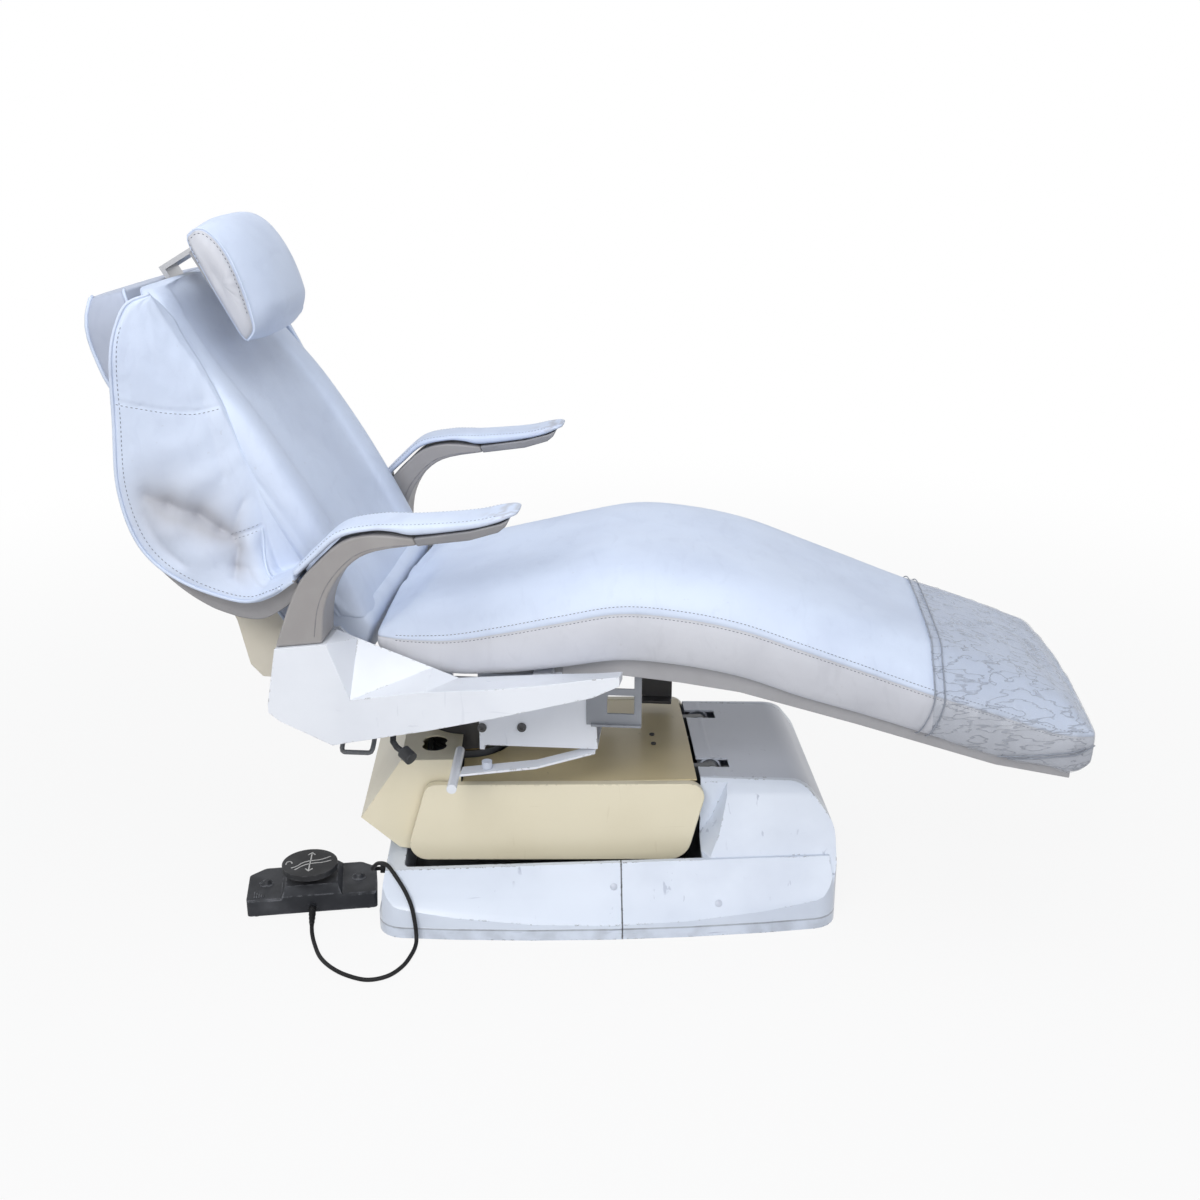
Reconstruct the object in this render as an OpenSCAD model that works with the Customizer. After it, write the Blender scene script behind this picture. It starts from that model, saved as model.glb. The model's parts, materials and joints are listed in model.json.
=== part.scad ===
/* [Base] */
// Length of the base on the floor
base_len = 780; // [740:10:840]
// Width of the base at its middle
base_w = 568; // [560:4:620]
// Width of the base at its two ends
base_end_w = 520; // [510:2:530]
// Height of the rim round the well
deck_h = 122; // [116:1:126]
// Wall of the moulded base covers
base_wall = 4; // [3:0.5:5]
// Thickness of the steel base plate
plate_t = 10; // [8:1:12]
// Anchor holes: spacing along the base
anchor_x = 600; // [560:10:620]
// Anchor holes: spacing across the base
anchor_y = 400; // [360:10:420]
// Anchor holes: diameter
anchor_d = 13; // [11:1:15]
// Width of the well that takes the lift covers
well_w = 452; // [444:2:456]
// Top of the hump over the foot-end pivot
hump_h = 240; // [238:1:244]
// Width across the top of the hump
hump_w = 330; // [320:5:340]

/* [Lift] */
// Distance of the lift pivot from the middle of the base
pivot_x = 185; // [180:1:190]
// Height of the lift pivot over the floor
pivot_z = 220; // [218:1:221]
// Run of the lift beams from pivot to pivot
arm_run = 425; // [415:5:435]
// Drop of the lift beams over that run
arm_drop = 18; // [14:1:20]
// Distance of the level link below the beams
link_gap = 92; // [88:1:94]
// Distance of each beam from the middle plane
beam_y = 105; // [103:1:108]
// Thickness of a lift beam
beam_t = 14; // [12:1:16]
// Diameter of the lift shafts
shaft_d = 18; // [16:1:20]
// Width over the two lift side panels
panels_w = 380; // [372:2:386]
// Depth of a lift side panel
panel_t = 16; // [12:1:18]

/* [Seat] */
// Rest angle of the seat on its swivel
rest_swivel = 7.25; // [0:0.25:12]
// Height of the seat frame's floor plate
frame_z = 322; // [318:1:330]
// Length of the seat and leg cushion
seat_len = 1145; // [1080:5:1180]
// Height of the seam at the knee over the frame plate
seat_high = 262; // [256:1:268]
// Width of the seat and leg cushion
seat_w = 524; // [500:4:540]
// Height of the crown of the cushion over its seam
seat_crown = 62; // [50:1:70]
// Depth of the cushion from its seam to its underside
seat_side = 80; // [74:1:86]

/* [Back] */
// Length of the back cushion
back_len = 620; // [580:5:640]
// Width of the back cushion at its widest
back_w = 480; // [460:4:490]
// Thickness of the back cushion
back_t = 64; // [58:1:70]
// Recline of the back from upright at rest
back_lean = 30; // [26:1:32]
// Width of the headrest
head_w = 290; // [270:5:300]

/* [Arms] */
// Distance of each armrest from the middle plane
arm_y = 300; // [298:1:306]
// Width of an arm frame
arm_w = 70; // [64:1:74]
// Width of an arm pad
pad_w = 78; // [72:1:84]

/* [Foot control] */
// Length of the foot control's case
pedal_len = 222; // [210:2:230]
// Depth of the foot control's case
pedal_w = 110; // [104:2:116]
// Height of the case at its rim
pedal_h = 33; // [30:1:36]
// Diameter of the rocking disc
disc_d = 96; // [88:2:100]
// Diameter of the cord
cord_d = 7; // [6:0.5:8]

/* [Hidden] */

// Fits and small values that several pieces share
fit = 0.05;
seat_gap = 0.3;
overrun = 1;
round_fn = 64;
hull_fn = 32;

// Places that follow from the driving sizes
head_x = pivot_x - arm_run;
head_z = pivot_z - arm_drop;
swivel_x = head_x;
split_share = 0.027;
split_x = split_share * base_len;
link_z = pivot_z - link_gap;

// Scaled outline: shares of a size, from an origin
function at(shares, size, origin = [0, 0]) =
    [for (p = shares) [origin.x + p.x * size.x, origin.y + p.y * size.y]];

// Corner p between a and b, rounded to radius r by n + 1 points
function corner(a, p, b, r, n = 5) =
    let (u = (a - p) / norm(a - p), v = (b - p) / norm(b - p), half = acos(u * v) / 2,
        m = (u + v) / norm(u + v), c = p + m * r / sin(half), s = p + u * r / tan(half) - c,
        turn = (180 - 2 * half) * (cross(s, p + v * r / tan(half) - c) > 0 ? 1 : -1))
    [for (i = [0:n]) c + [s.x * cos(turn * i / n) - s.y * sin(turn * i / n),
        s.x * sin(turn * i / n) + s.y * cos(turn * i / n)]];

// Closed outline with each corner rounded to its own radius, or left sharp at 0
function rounded(points, radii, n = 5) =
    let (k = len(points))
    [for (i = [0:k - 1]) each (radii[i] > 0
        ? corner(points[(i + k - 1) % k], points[i], points[(i + 1) % k], radii[i], n) : [points[i]])];

// Smooth curve through the points of an open list, in n steps between each two
function curve(p, n = 4) =
    let (k = len(p) - 1)
    [for (i = [0:k - 1], j = [0:n - 1]) spline(p[max(i - 1, 0)], p[i], p[i + 1], p[min(i + 2, k)], j / n),
        p[k]];
function spline(a, b, c, d, t) =
    0.5 * (2 * b + (c - a) * t + (2 * a - 5 * b + 4 * c - d) * t * t + (3 * b - a - 3 * c + d) * t * t * t);

// Prism of an outline in X and Z that runs along Y
module along_y(points, y_from, y_to)
    translate([0, y_to, 0]) rotate([90, 0, 0]) linear_extrude(y_to - y_from) polygon(points);

// Prism of an outline in Y and Z that runs along X
module along_x(points, x_from, x_to)
    translate([x_from, 0, 0]) rotate([90, 0, 90]) linear_extrude(x_to - x_from) polygon(points);

// Round bar along Y, and a box between two corners
module bar_y(x, z, d, y_from, y_to)
    translate([x, y_to, z]) rotate([90, 0, 0]) cylinder(d = d, h = y_to - y_from, $fn = round_fn);
module block(low, high) translate(low) cube(high - low);

// Closed skin over rings of points that all have the same count, with its faces turned outwards
function ring_normal(r) = let (k = len(r)) sum_of([for (j = [0:k - 1]) cross(r[j] - r[0],
    r[(j + 1) % k] - r[0])]);
function sum_of(list) = [for (i = [0:len(list) - 1]) 1] * list;
function reversed(list) = [for (i = [len(list) - 1:-1:0]) list[i]];

module loft(given) {
    turned = ring_normal(given[0]) * (given[1][0] - given[0][0]) > 0;
    rings = [for (r = given) turned ? reversed(r) : r];
    n = len(rings[0]);
    k = len(rings);
    sides = [for (i = [0:k - 2], j = [0:n - 1]) each [
        [i * n + j, i * n + (j + 1) % n, (i + 1) * n + j],
        [i * n + (j + 1) % n, (i + 1) * n + (j + 1) % n, (i + 1) * n + j]]];
    start = [[for (j = [n - 1:-1:0]) j]];
    finish = [[for (j = [0:n - 1]) (k - 1) * n + j]];
    polyhedron([for (r = rings) each r], concat(sides, start, finish));
}

// Both sides of the middle plane
module both_sides() {
    children();
    mirror([0, 1, 0]) children();
}

// Base plate and covers
plan_steps = 6;
plan_r = 46;
plate_inset = 16;
skirt_shares = [[1, 0], [1, 0.22], [0.91, 0.51], [0.866, 0.76], [0.818, 1]];
end_share = 0.3;
head_drop = 9;
well_share = -0.441;
well_x = well_share * base_len;
well_r = 12;
hump_share = 0.205;
hump_x = hump_share * base_len;

function plan(inset) =
    let (half = base_len / 2 - inset, bow = (base_w - base_end_w) / 2)
    rounded([for (s = [-1, 1], i = [0:plan_steps]) let (u = 2 * i / plan_steps - 1)
            [-s * u * half, s * (base_end_w / 2 - inset + bow * (1 - u * u))]],
        [for (s = [-1, 1], i = [0:plan_steps]) i == 0 || i == plan_steps ? plan_r - inset : 0]);

// Stepped skirt across the base, and the same with steeper steps along it
function skirt_side(inset) =
    let (right = [for (p = skirt_shares) [p.x * base_w / 2 - inset, p.y == 0 ? -overrun : p.y * deck_h]])
    mirrored(right);
function skirt_end(inset) =
    let (right = [for (p = skirt_shares)
            [base_len / 2 - inset - (1 - p.x) * end_share * base_w / 2, p.y == 0 ? -overrun : p.y * deck_h]],
        k = len(right))
    concat(right, [for (i = [k - 1:-1:0]) [-right[i].x, right[i].y - (i == k - 1 ? head_drop : 0)]]);
function mirrored(right) =
    let (k = len(right)) concat(right, [for (i = [k - 1:-1:0]) [-right[i].x, right[i].y]]);

module base_form(inset)
    intersection() {
        translate([0, 0, -overrun]) linear_extrude(deck_h + 2 * overrun) polygon(plan(inset));
        along_x(skirt_side(inset), -base_len, base_len);
        along_y(skirt_end(inset), -base_w, base_w);
    }

module well(inset, x_to, z_from)
    translate([0, 0, z_from]) linear_extrude(2 * deck_h)
        polygon(rounded([[x_to, -well_w / 2 + inset], [x_to, well_w / 2 - inset],
            [well_x + inset, well_w / 2 - inset], [well_x + inset, -well_w / 2 + inset]],
            [0, 0, well_r, well_r]));

module well_wall()
    difference() {
        well(-base_wall, hump_x, plate_t + seat_gap);
        well(0, hump_x + overrun, 0);
    }

module base_plate()
    color("dimgray") difference() {
        linear_extrude(plate_t) polygon(plan(plate_inset));
        for (x = [-1, 1], y = [-1, 1])
            translate([x * anchor_x / 2, y * anchor_y / 2, -overrun])
                cylinder(d = anchor_d, h = plate_t + 2 * overrun, $fn = round_fn);
    }

module head_base_cover()
    color("aliceblue") difference() {
        base_form(0);
        difference() {
            translate([0, 0, -base_wall]) base_form(base_wall);
            well_wall();
        }
        well(0, base_len, 0);
        block([split_x - seat_gap, -base_w, -deck_h], [base_len, base_w, 2 * deck_h]);
        block([-base_len, -base_w, -2 * deck_h], [base_len, base_w, seat_gap]);
        cord_bore();
    }

// The hump: an outline along the base met by a leaning outline across it
hump_shares = [[0, 0], [0, 1], [0.78, 0.97], [0.985, 0.7], [1, 0.1], [1, 0]];
hump_radii = [0, 0, 55, 60, 0, 0];
hump_side_shares = [[0.905, 0.2], [0.66, 0.9], [0.58, 1]];

// The pocket beside the panel's foot end, with a bevelled edge
pocket_depth_share = 0.9;
pocket_shares = [[0, 0.49], [0.38, 0.49], [0.46, 0.7], [0.56, 1.1], [0, 1.1]];
pocket_radii = [0, 20, 40, 0, 0];
bevel = 30;

function hump_side(inset) =
    let (s = at(hump_side_shares, [base_w / 2, hump_h], [-inset, -inset]))
    mirrored([[s[0].x, 0], s[0], s[1], s[2]]);

module hump_form(inset)
    intersection() {
        along_y(rounded(at(hump_shares, [base_len / 2 - hump_x - inset, hump_h - inset], [hump_x, 0]),
            [for (r = hump_radii) max(r - inset, 0)]), -base_w, base_w);
        along_x(hump_side(inset), hump_x - overrun, base_len);
        linear_extrude(2 * hump_h) polygon(plan(inset));
    }

function pocket(grow) =
    rounded([for (p = at(pocket_shares, [base_len / 2, hump_h])) [p.x + (p.x > 0 ? grow : 0), p.y - grow]],
        [for (r = pocket_radii) r > 0 ? r + grow : 0]);

module pocket_cut(grow)
    both_sides() {
        depth = pocket_depth_share * panels_w / 2 - grow;
        along_y(pocket(grow), depth, depth + base_wall);
        hull() {
            along_y(pocket(grow), depth + base_wall, depth + 2 * base_wall);
            along_y(pocket(grow + bevel), base_w / 2, base_w / 2 + overrun);
        }
    }

lid_w_share = 0.97;
lid_low_share = 0.52;
lid_t = 4;
barrel_r = 20;
notch_w = 34;
notch_len = 50;

module lid_zone(gap)
    block([pivot_x - 2 * barrel_r, -lid_w_share * hump_w / 2 - gap, lid_low_share * hump_h - gap],
        [base_len, lid_w_share * hump_w / 2 + gap, 2 * hump_h]);

module foot_base_cover()
    color("aliceblue") difference() {
        union() {
            base_form(0);
            difference() {
                hump_form(0);
                pocket_cut(0);
            }
        }
        difference() {
            union() {
                translate([0, 0, -base_wall]) base_form(base_wall);
                hump_form(base_wall);
            }
            pocket_cut(base_wall);
            well_wall();
        }
        well(0, hump_x, 0);
        block([-base_len, -base_w, -deck_h], [split_x, base_w, 2 * deck_h]);
        block([-base_len, -base_w, -2 * deck_h], [base_len, base_w, seat_gap]);
        lid_zone(seat_gap);
        inlet_box(4 * base_wall, overrun, inlet_wall + seat_gap);
    }

module pivot_lid()
    color("lightsteelblue") {
        difference() {
            union() {
                intersection() {
                    difference() {
                        hump_form(0);
                        hump_form(lid_t);
                    }
                    lid_zone(0);
                }
                bar_y(pivot_x, pivot_z, 2 * barrel_r, -lid_w_share * hump_w / 2, lid_w_share * hump_w / 2);
            }
            bar_y(pivot_x, pivot_z, 2 * (barrel_r - lid_t + seat_gap), -base_w, base_w);
            block([0, -base_w, 0], [pivot_x + barrel_r, base_w, pivot_z]);
            for (s = [-1, 1])
                block([0, s * beam_y - notch_w / 2, 0],
                    [pivot_x - barrel_r + notch_len, s * beam_y + notch_w / 2, 2 * hump_h]);
        }
    }

// Brackets, shafts and pins on the base plate
cheek_t = 12;
side_gap = 2;
boss_d = 32;
bracket_foot = 90;
beam_in = beam_y - beam_t / 2;
cheek_y = beam_in - side_gap;
link_t = 10;
link_out = cheek_y - cheek_t - side_gap;
link_in = link_out - link_t;
pin_d = 16;
ram_foot_x = 20;
ram_x = pivot_x + ram_foot_x;
ram_z = 60;
ram_lever = 79;
ram_lever_drop = 6;
ram_pin_x = pivot_x - ram_lever;
ram_pin_z = pivot_z - ram_lever_drop;
ram_eye_w = 44;
ear_t = 10;
ear_gap = 1;
foot_pin_d = 14;

// Upright plate from the base plate to a round boss
module cheek(x, z, foot, y_from, y_to)
    difference() {
        union() {
            bar_y(x, z, boss_d, y_from, y_to);
            along_y([[x - foot / 2, plate_t], [x + foot / 2, plate_t], [x + boss_d / 2, z],
                [x - boss_d / 2, z]],
                y_from, y_to);
        }
        children();
    }

module shaft_bores(gap) {
    bar_y(pivot_x, pivot_z, shaft_d + 2 * gap, -base_w / 2, base_w / 2);
    bar_y(pivot_x, link_z, pin_d + 2 * gap, -base_w / 2, base_w / 2);
}

module pivot_brackets()
    color("slategray") {
        both_sides() {
            cheek(pivot_x, pivot_z, bracket_foot, cheek_y - cheek_t, cheek_y) shaft_bores(fit);
            cheek(pivot_x, link_z, bracket_foot, link_in - side_gap - cheek_t, link_in - side_gap)
                shaft_bores(fit);
            cheek(ram_x, ram_z, bracket_foot * 0.6, ram_eye_w / 2 + ear_gap, ram_eye_w / 2 + ear_gap + ear_t)
                bar_y(ram_x, ram_z, foot_pin_d + 2 * fit, 0, base_w / 2);
        }
    }

module lift_shaft()
    color("silver") bar_y(pivot_x, pivot_z, shaft_d, -beam_y - beam_t / 2, beam_y + beam_t / 2);

module base_pins()
    color("silver") {
        both_sides() bar_y(pivot_x, link_z, pin_d, link_in - side_gap - cheek_t, cheek_y);
        bar_y(ram_x, ram_z, foot_pin_d, -ram_eye_w / 2 - ear_gap - ear_t, ram_eye_w / 2 + ear_gap + ear_t);
    }

// Round caps over the cover's screws, on the skirt of each side
cap_d = 12;
cap_t = 3;
cap_shares = [[0.01, 0.67], [0.236, 0.44]];
skirt_line = [for (p = skirt_shares) if (p.y > 0) [p.y * deck_h, p.x * base_w / 2]];

function skirt_lean(z) = 90 + atan((lookup(z + overrun, skirt_line) - lookup(z - overrun,
    skirt_line)) / 2 / overrun);

module cover_caps()
    color("lightsteelblue") both_sides() for (p = cap_shares) {
        z = p.y * deck_h;
        translate([p.x * base_len, -lookup(z, skirt_line), z]) rotate([skirt_lean(z), 0, 0])
            intersection() {
                translate([0, 0, seat_gap]) cylinder(d = cap_d, h = cap_t, $fn = round_fn);
                translate([0, 0, cap_t - cap_d]) sphere(r = cap_d, $fn = hull_fn);
            }
    }

// Motor, pump block and oil tank under the hump
motor_d = 92;
motor_len = 130;
unit_inset = 95;
motor_lift = 6;
unit_x = base_len / 2 - unit_inset;
unit_z = plate_t + motor_d / 2 + motor_lift;

module power_unit()
    color("gray") {
        bar_y(unit_x, unit_z, motor_d, -motor_len, 0);
        bar_y(unit_x, unit_z, motor_d * 0.9, 0, motor_len * 0.3);
        block([unit_x - motor_d * 0.4, motor_len * 0.3, plate_t], [unit_x + motor_d * 0.4, motor_len,
            motor_d]);
        for (y = [-motor_len * 0.85, -motor_len * 0.25])
            block([unit_x - motor_d * 0.3, y, plate_t], [unit_x + motor_d * 0.3, y + ear_t, unit_z]);
    }

// Hydraulic ram from the base plate to the cross pin of the beams
ram_d = 44;
ram_bore_d = 34;
rod_d = 22;
gland_t = 10;
tube_from = 14;
tube_to = 146;
piston_from = 52;
piston_t = 16;
eye_wall = 8;
open_clearance = 3.4;
ram_len = norm([ram_pin_x - ram_x, ram_pin_z - ram_z]);
ram_tilt = atan2(ram_pin_x - ram_x, ram_pin_z - ram_z);

module along_ram() translate([ram_x, 0, ram_z]) rotate([0, ram_tilt, 0]) children();

module ram_cylinder()
    color("gray") along_ram() difference() {
        union() {
            translate([0, 0, tube_from]) cylinder(d = ram_d, h = tube_to - tube_from, $fn = round_fn);
            bar_y(0, 0, ram_d - 2 * side_gap, -ram_eye_w / 2, ram_eye_w / 2);
        }
        translate([0, 0, tube_from + gland_t])
            cylinder(d = ram_bore_d, h = tube_to - tube_from - 2 * gland_t, $fn = round_fn);
        translate([0, 0, tube_to - gland_t - overrun])
            cylinder(d = rod_d + 2 * fit, h = gland_t + 2 * overrun, $fn = round_fn);
        bar_y(0, 0, foot_pin_d + 2 * fit, -ram_eye_w, ram_eye_w);
    }

module ram_rod()
    color("silver") along_ram() difference() {
        union() {
            translate([0, 0, piston_from]) cylinder(d = rod_d, h = ram_len - piston_from, $fn = round_fn);
            translate([0, 0, piston_from])
                cylinder(d = ram_bore_d - 2 * fit, h = piston_t, $fn = round_fn);
            bar_y(0, ram_len, pin_d + 2 * open_clearance + 2 * eye_wall, -ram_eye_w / 2, ram_eye_w / 2);
        }
        bar_y(0, ram_len, pin_d + 2 * open_clearance, -ram_eye_w, ram_eye_w);
    }

// Mains inlet in the foot-end face of the base
inlet_w = 28;
inlet_h = 18;
inlet_depth = 12;
inlet_y = 120;
inlet_z = 21;
inlet_rim = 3;
inlet_wall = 1.5;

module inlet_box(low, high, grow)
    block([base_len / 2 - low, inlet_y - inlet_w / 2 - grow, inlet_z - inlet_h / 2 - grow],
        [base_len / 2 + high, inlet_y + inlet_w / 2 + grow, inlet_z + inlet_h / 2 + grow]);

module mains_inlet()
    color("black") difference() {
        union() {
            inlet_box(inlet_depth + inlet_wall, inlet_rim, inlet_wall);
            inlet_box(-seat_gap, inlet_rim, inlet_rim);
        }
        inlet_box(inlet_depth, inlet_rim + overrun, 0);
    }

// Lift beams with their eyes, cross tube and outriggers
eye_d = 32;
beam_belly_shares = [[1, 0.5], [0, 0.5], [0, -0.5], [0.24, -1.5], [0.82, -1.35], [1, -0.5]];
cross_share = 0.706;
cross_x = pivot_x - cross_share * arm_run;
cross_d = 34;
hole_shares = [0.3, 0.44, 0.58];
hole_d = 34;
hole_drop = 22;
outrigger_shares = [0.282, 0.824];
outrigger_x = [for (share = outrigger_shares) pivot_x - share * arm_run];
outrigger_w = 30;
outrigger_h = 14;
outrigger_drop = 14;
panel_wall = 4;
cover_z = 238;
cover_t = 3;
cover_rise = 5;
cover_flat_share = 0.25;

function arm_z(x) = pivot_z - arm_drop * (pivot_x - x) / arm_run;

module lift_beams()
    color("slategray") difference() {
        union() {
            both_sides() {
                bar_y(pivot_x, pivot_z, eye_d, beam_in, beam_in + beam_t);
                bar_y(head_x, head_z, eye_d, beam_in, beam_in + beam_t);
                along_y([for (p = beam_belly_shares)
                    let (x = head_x + p.x * arm_run) [x, arm_z(x) + p.y * eye_d]], beam_in,
                        beam_in + beam_t);
                for (x = outrigger_x) {
                    top = cover_z - seat_gap;
                    block([x, beam_in, top - outrigger_drop - outrigger_h],
                        [x + outrigger_w, panels_w / 2 - panel_wall - seat_gap, top - outrigger_drop]);
                    block([x, beam_in, top - outrigger_drop], [x + outrigger_w, beam_in + beam_t, top]);
                }
            }
            bar_y(cross_x, arm_z(cross_x) - hole_drop, cross_d, -beam_y, beam_y);
        }
        shaft_bores(fit);
        bar_y(head_x, head_z, shaft_d + 2 * fit, -base_w / 2, base_w / 2);
        bar_y(ram_pin_x, ram_pin_z, pin_d + 2 * fit, -base_w / 2, base_w / 2);
        for (s = hole_shares)
            bar_y(head_x + s * arm_run, arm_z(head_x + s * arm_run) - hole_drop, hole_d,
                beam_in - overrun, beam_in + beam_t + overrun);
    }

module ram_pin()
    color("silver") bar_y(ram_pin_x, ram_pin_z, pin_d, -beam_y - beam_t / 2, beam_y + beam_t / 2);

// Crowned top cover with a notch for the swivel drum
drum_d = 132;
drum_gap = 14;
rear_stop = 7;
rear_end = swivel_x - rear_stop;
cover_from = rear_end + side_gap;
cover_lid_gap = 12;
cover_to = pivot_x - barrel_r - cover_lid_gap;
screw_x = 89;
screw_y = [-2, -41];
screw_d = 9;
screw_h = 2.5;
cover_in = panels_w / 2 - panel_t - seat_gap;

module lift_top_cover()
    color("darkkhaki") difference() {
        along_x([[-cover_in, cover_z], [cover_in, cover_z], [cover_in, cover_z + cover_t],
            [cover_flat_share * cover_in, cover_z + cover_t + cover_rise],
            [-cover_flat_share * cover_in, cover_z + cover_t + cover_rise], [-cover_in, cover_z + cover_t]],
            cover_from, cover_to);
        along_x([[-cover_in + overrun, cover_z - overrun], [cover_in - overrun, cover_z - overrun],
            [cover_in - overrun, cover_z], [cover_flat_share * cover_in, cover_z + cover_rise],
            [-cover_flat_share * cover_in, cover_z + cover_rise], [-cover_in + overrun, cover_z]],
            cover_from - overrun, cover_to + overrun);
        translate([swivel_x, 0, 0]) cylinder(d = drum_d + 2 * drum_gap, h = 2 * hump_h, $fn = round_fn);
        block([cover_from - overrun, -drum_d / 2 - drum_gap, 0], [swivel_x, drum_d / 2 + drum_gap,
            2 * hump_h]);
    }

module top_cover_screws()
    color("dimgray") for (y = screw_y)
        translate([screw_x, y, cover_z + cover_t + cover_rise + seat_gap / 3]) difference() {
            cylinder(d = screw_d, h = screw_h, $fn = round_fn);
            for (turn = [0, 90]) rotate([0, 0, turn])
                translate([-screw_d / 3, -screw_d / 16, screw_h / 2]) cube([screw_d * 2 / 3,
                    screw_d / 8, screw_h]);
        }

// Side panels: rounded plates with a returned edge
panel_from_share = -0.4436;
panel_x = panel_from_share * base_len;
panel_stop = 13;
panel_end = pivot_x - panel_stop;
panel_low = 96;
panel_high = 247;
panel_shares = [[0, 0.07], [0.93, 0], [1, 0.95], [0.08, 1]];
panel_radii = [30, 38, 26, 22];

function panel_outline(inset) =
    rounded([for (p = at(panel_shares, [panel_end - panel_x - 2 * inset, panel_high - panel_low - 2 * inset],
            [panel_x + inset, panel_low + inset])) p], [for (r = panel_radii) r - inset], 8);

module side_panel()
    difference() {
        along_y(panel_outline(0), panels_w / 2 - panel_t, panels_w / 2);
        along_y(panel_outline(panel_wall), panels_w / 2 - panel_t - overrun, panels_w / 2 - panel_wall);
    }
module near_side_panel() color("wheat") mirror([0, 1, 0]) side_panel();
module far_side_panel() color("wheat") side_panel();

// Level link: two bars and a cross tube
link_h = 26;
link_cross_share = 0.565;
link_cross_x = pivot_x - link_cross_share * arm_run;
link_cross_d = 20;

module level_link()
    color("slategray") difference() {
        union() {
            both_sides() {
                for (x = [pivot_x, head_x]) bar_y(x, link_at(x), eye_d, link_in, link_out);
                along_y([[pivot_x, link_z + link_h / 2], [head_x, link_at(head_x) + link_h / 2],
                    [head_x, link_at(head_x) - link_h / 2], [pivot_x, link_z - link_h / 2]], link_in,
                        link_out);
            }
            bar_y(link_cross_x, link_at(link_cross_x), link_cross_d, -link_out, link_out);
        }
        for (x = [pivot_x, head_x]) bar_y(x, link_at(x), pin_d + 2 * fit, -base_w / 2, base_w / 2);
    }
function link_at(x) = arm_z(x) - link_gap;

// Carrier: the casting that the beams and the link hold level
casting_len = 66;
casting_drop = 20;
casting_low = link_at(head_x) - casting_drop;
casting_y = link_in - side_gap;
casting_top = 250;
upper_y = cheek_y;
rear_bar_out = 72;
rear_bar_x = swivel_x - rear_bar_out;
rear_bar_t = 8;
rear_share = -0.537;
rear_x = rear_share * base_len;
rear_low = 116;
rear_high = 284;
rear_w = 2 * (panels_w / 2 - panel_t - side_gap * 2);
rear_wall = 3;
rear_shares = [[0.42, 1], [0, 0.375], [0.37, 0.03], [0.53, 0], [1, 0], [1, 1]];

module carrier_casting()
    color("slategray") difference() {
        union() {
            block([swivel_x - casting_len / 2, -casting_y, casting_low],
                [swivel_x + casting_len / 2, casting_y, casting_top - cheek_t]);
            block([swivel_x - casting_len / 2, -upper_y, head_z - eye_d / 2],
                [swivel_x + casting_len / 2, upper_y, head_z + eye_d / 2]);
            translate([swivel_x, 0, casting_top - cheek_t - overrun])
                cylinder(d = drum_d, h = cheek_t + overrun, $fn = round_fn);
            block([rear_bar_x, -rear_w / 2 + rear_wall + seat_gap, head_z],
                [rear_bar_x + rear_bar_t, rear_w / 2 - rear_wall - seat_gap, casting_top]);
            both_sides() block([rear_bar_x, casting_y - cheek_t, head_z], [swivel_x, casting_y,
                head_z + eye_d / 2]);
        }
        bar_y(head_x, head_z, shaft_d + 2 * fit, -base_w, base_w);
        bar_y(head_x, link_at(head_x), pin_d + 2 * fit, -base_w, base_w);
        translate([swivel_x, 0, head_z + eye_d / 2])
            cylinder(d = post_d + 2 * fit, h = hump_h, $fn = round_fn);
    }

module rear_cover()
    color("wheat") difference() {
        along_y(at(rear_shares, [rear_end - rear_x, rear_high - rear_low], [rear_x, rear_low]),
            -rear_w / 2, rear_w / 2);
        along_y(at(rear_shares, [rear_end - rear_x - rear_wall, rear_high - rear_low - 2 * rear_wall],
            [rear_x + rear_wall, rear_low + rear_wall]), -rear_w / 2 + rear_wall, rear_w / 2 - rear_wall);
        block([rear_end - 2 * rear_wall, -rear_w / 2 + rear_wall, rear_low + rear_wall],
            [rear_end + overrun, rear_w / 2 - rear_wall, rear_high - rear_wall]);
        block([swivel_x - 5 * casting_len / 4, -rear_w / 2 + rear_wall, rear_low - overrun],
            [rear_end + overrun, rear_w / 2 - rear_wall, rear_low + 2 * rear_wall]);
        translate([swivel_x, 0, rear_low]) cylinder(d = drum_d + 2 * side_gap, h = hump_h, $fn = round_fn);
        for (dy = [-1, 1]) translate([cable_x, cable_y + dy * cable_d / 4, rear_low + 2 * rear_wall])
            cylinder(d = cable_d, h = hump_h, $fn = round_fn);
    }
cable_out = 54;
cable_x = swivel_x - cable_out;
cable_y = -102;
cable_d = 42;

module head_pins()
    color("silver") {
        bar_y(head_x, head_z, shaft_d, -beam_y - beam_t / 2, beam_y + beam_t / 2);
        bar_y(head_x, link_at(head_x), pin_d, -link_out, link_out);
    }

// Swivel: post, thrust ring and the drum that turns on them
post_d = 50;
ring_t = 4;
post_gap = 6;
post_top = frame_z - post_gap;

module swivel_post()
    color("silver") translate([swivel_x, 0, head_z + eye_d / 2])
        cylinder(d = post_d, h = post_top - head_z - eye_d / 2, $fn = round_fn);

module thrust_ring()
    color("goldenrod") translate([swivel_x, 0, casting_top]) difference() {
        cylinder(d = drum_d - 4 * ring_t, h = ring_t, $fn = round_fn);
        translate([0, 0, -overrun]) cylinder(d = post_d + 2 * fit, h = ring_t + 2 * overrun, $fn = round_fn);
    }

module swivel_drum()
    color("dimgray") translate([swivel_x, 0, casting_top + ring_t + seat_gap]) difference() {
        cylinder(d = drum_d, h = frame_z - casting_top - ring_t - 2 * seat_gap, $fn = round_fn);
        translate([0, 0, -overrun]) cylinder(d = post_d + 2 * fit, h = frame_z, $fn = round_fn);
    }

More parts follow.
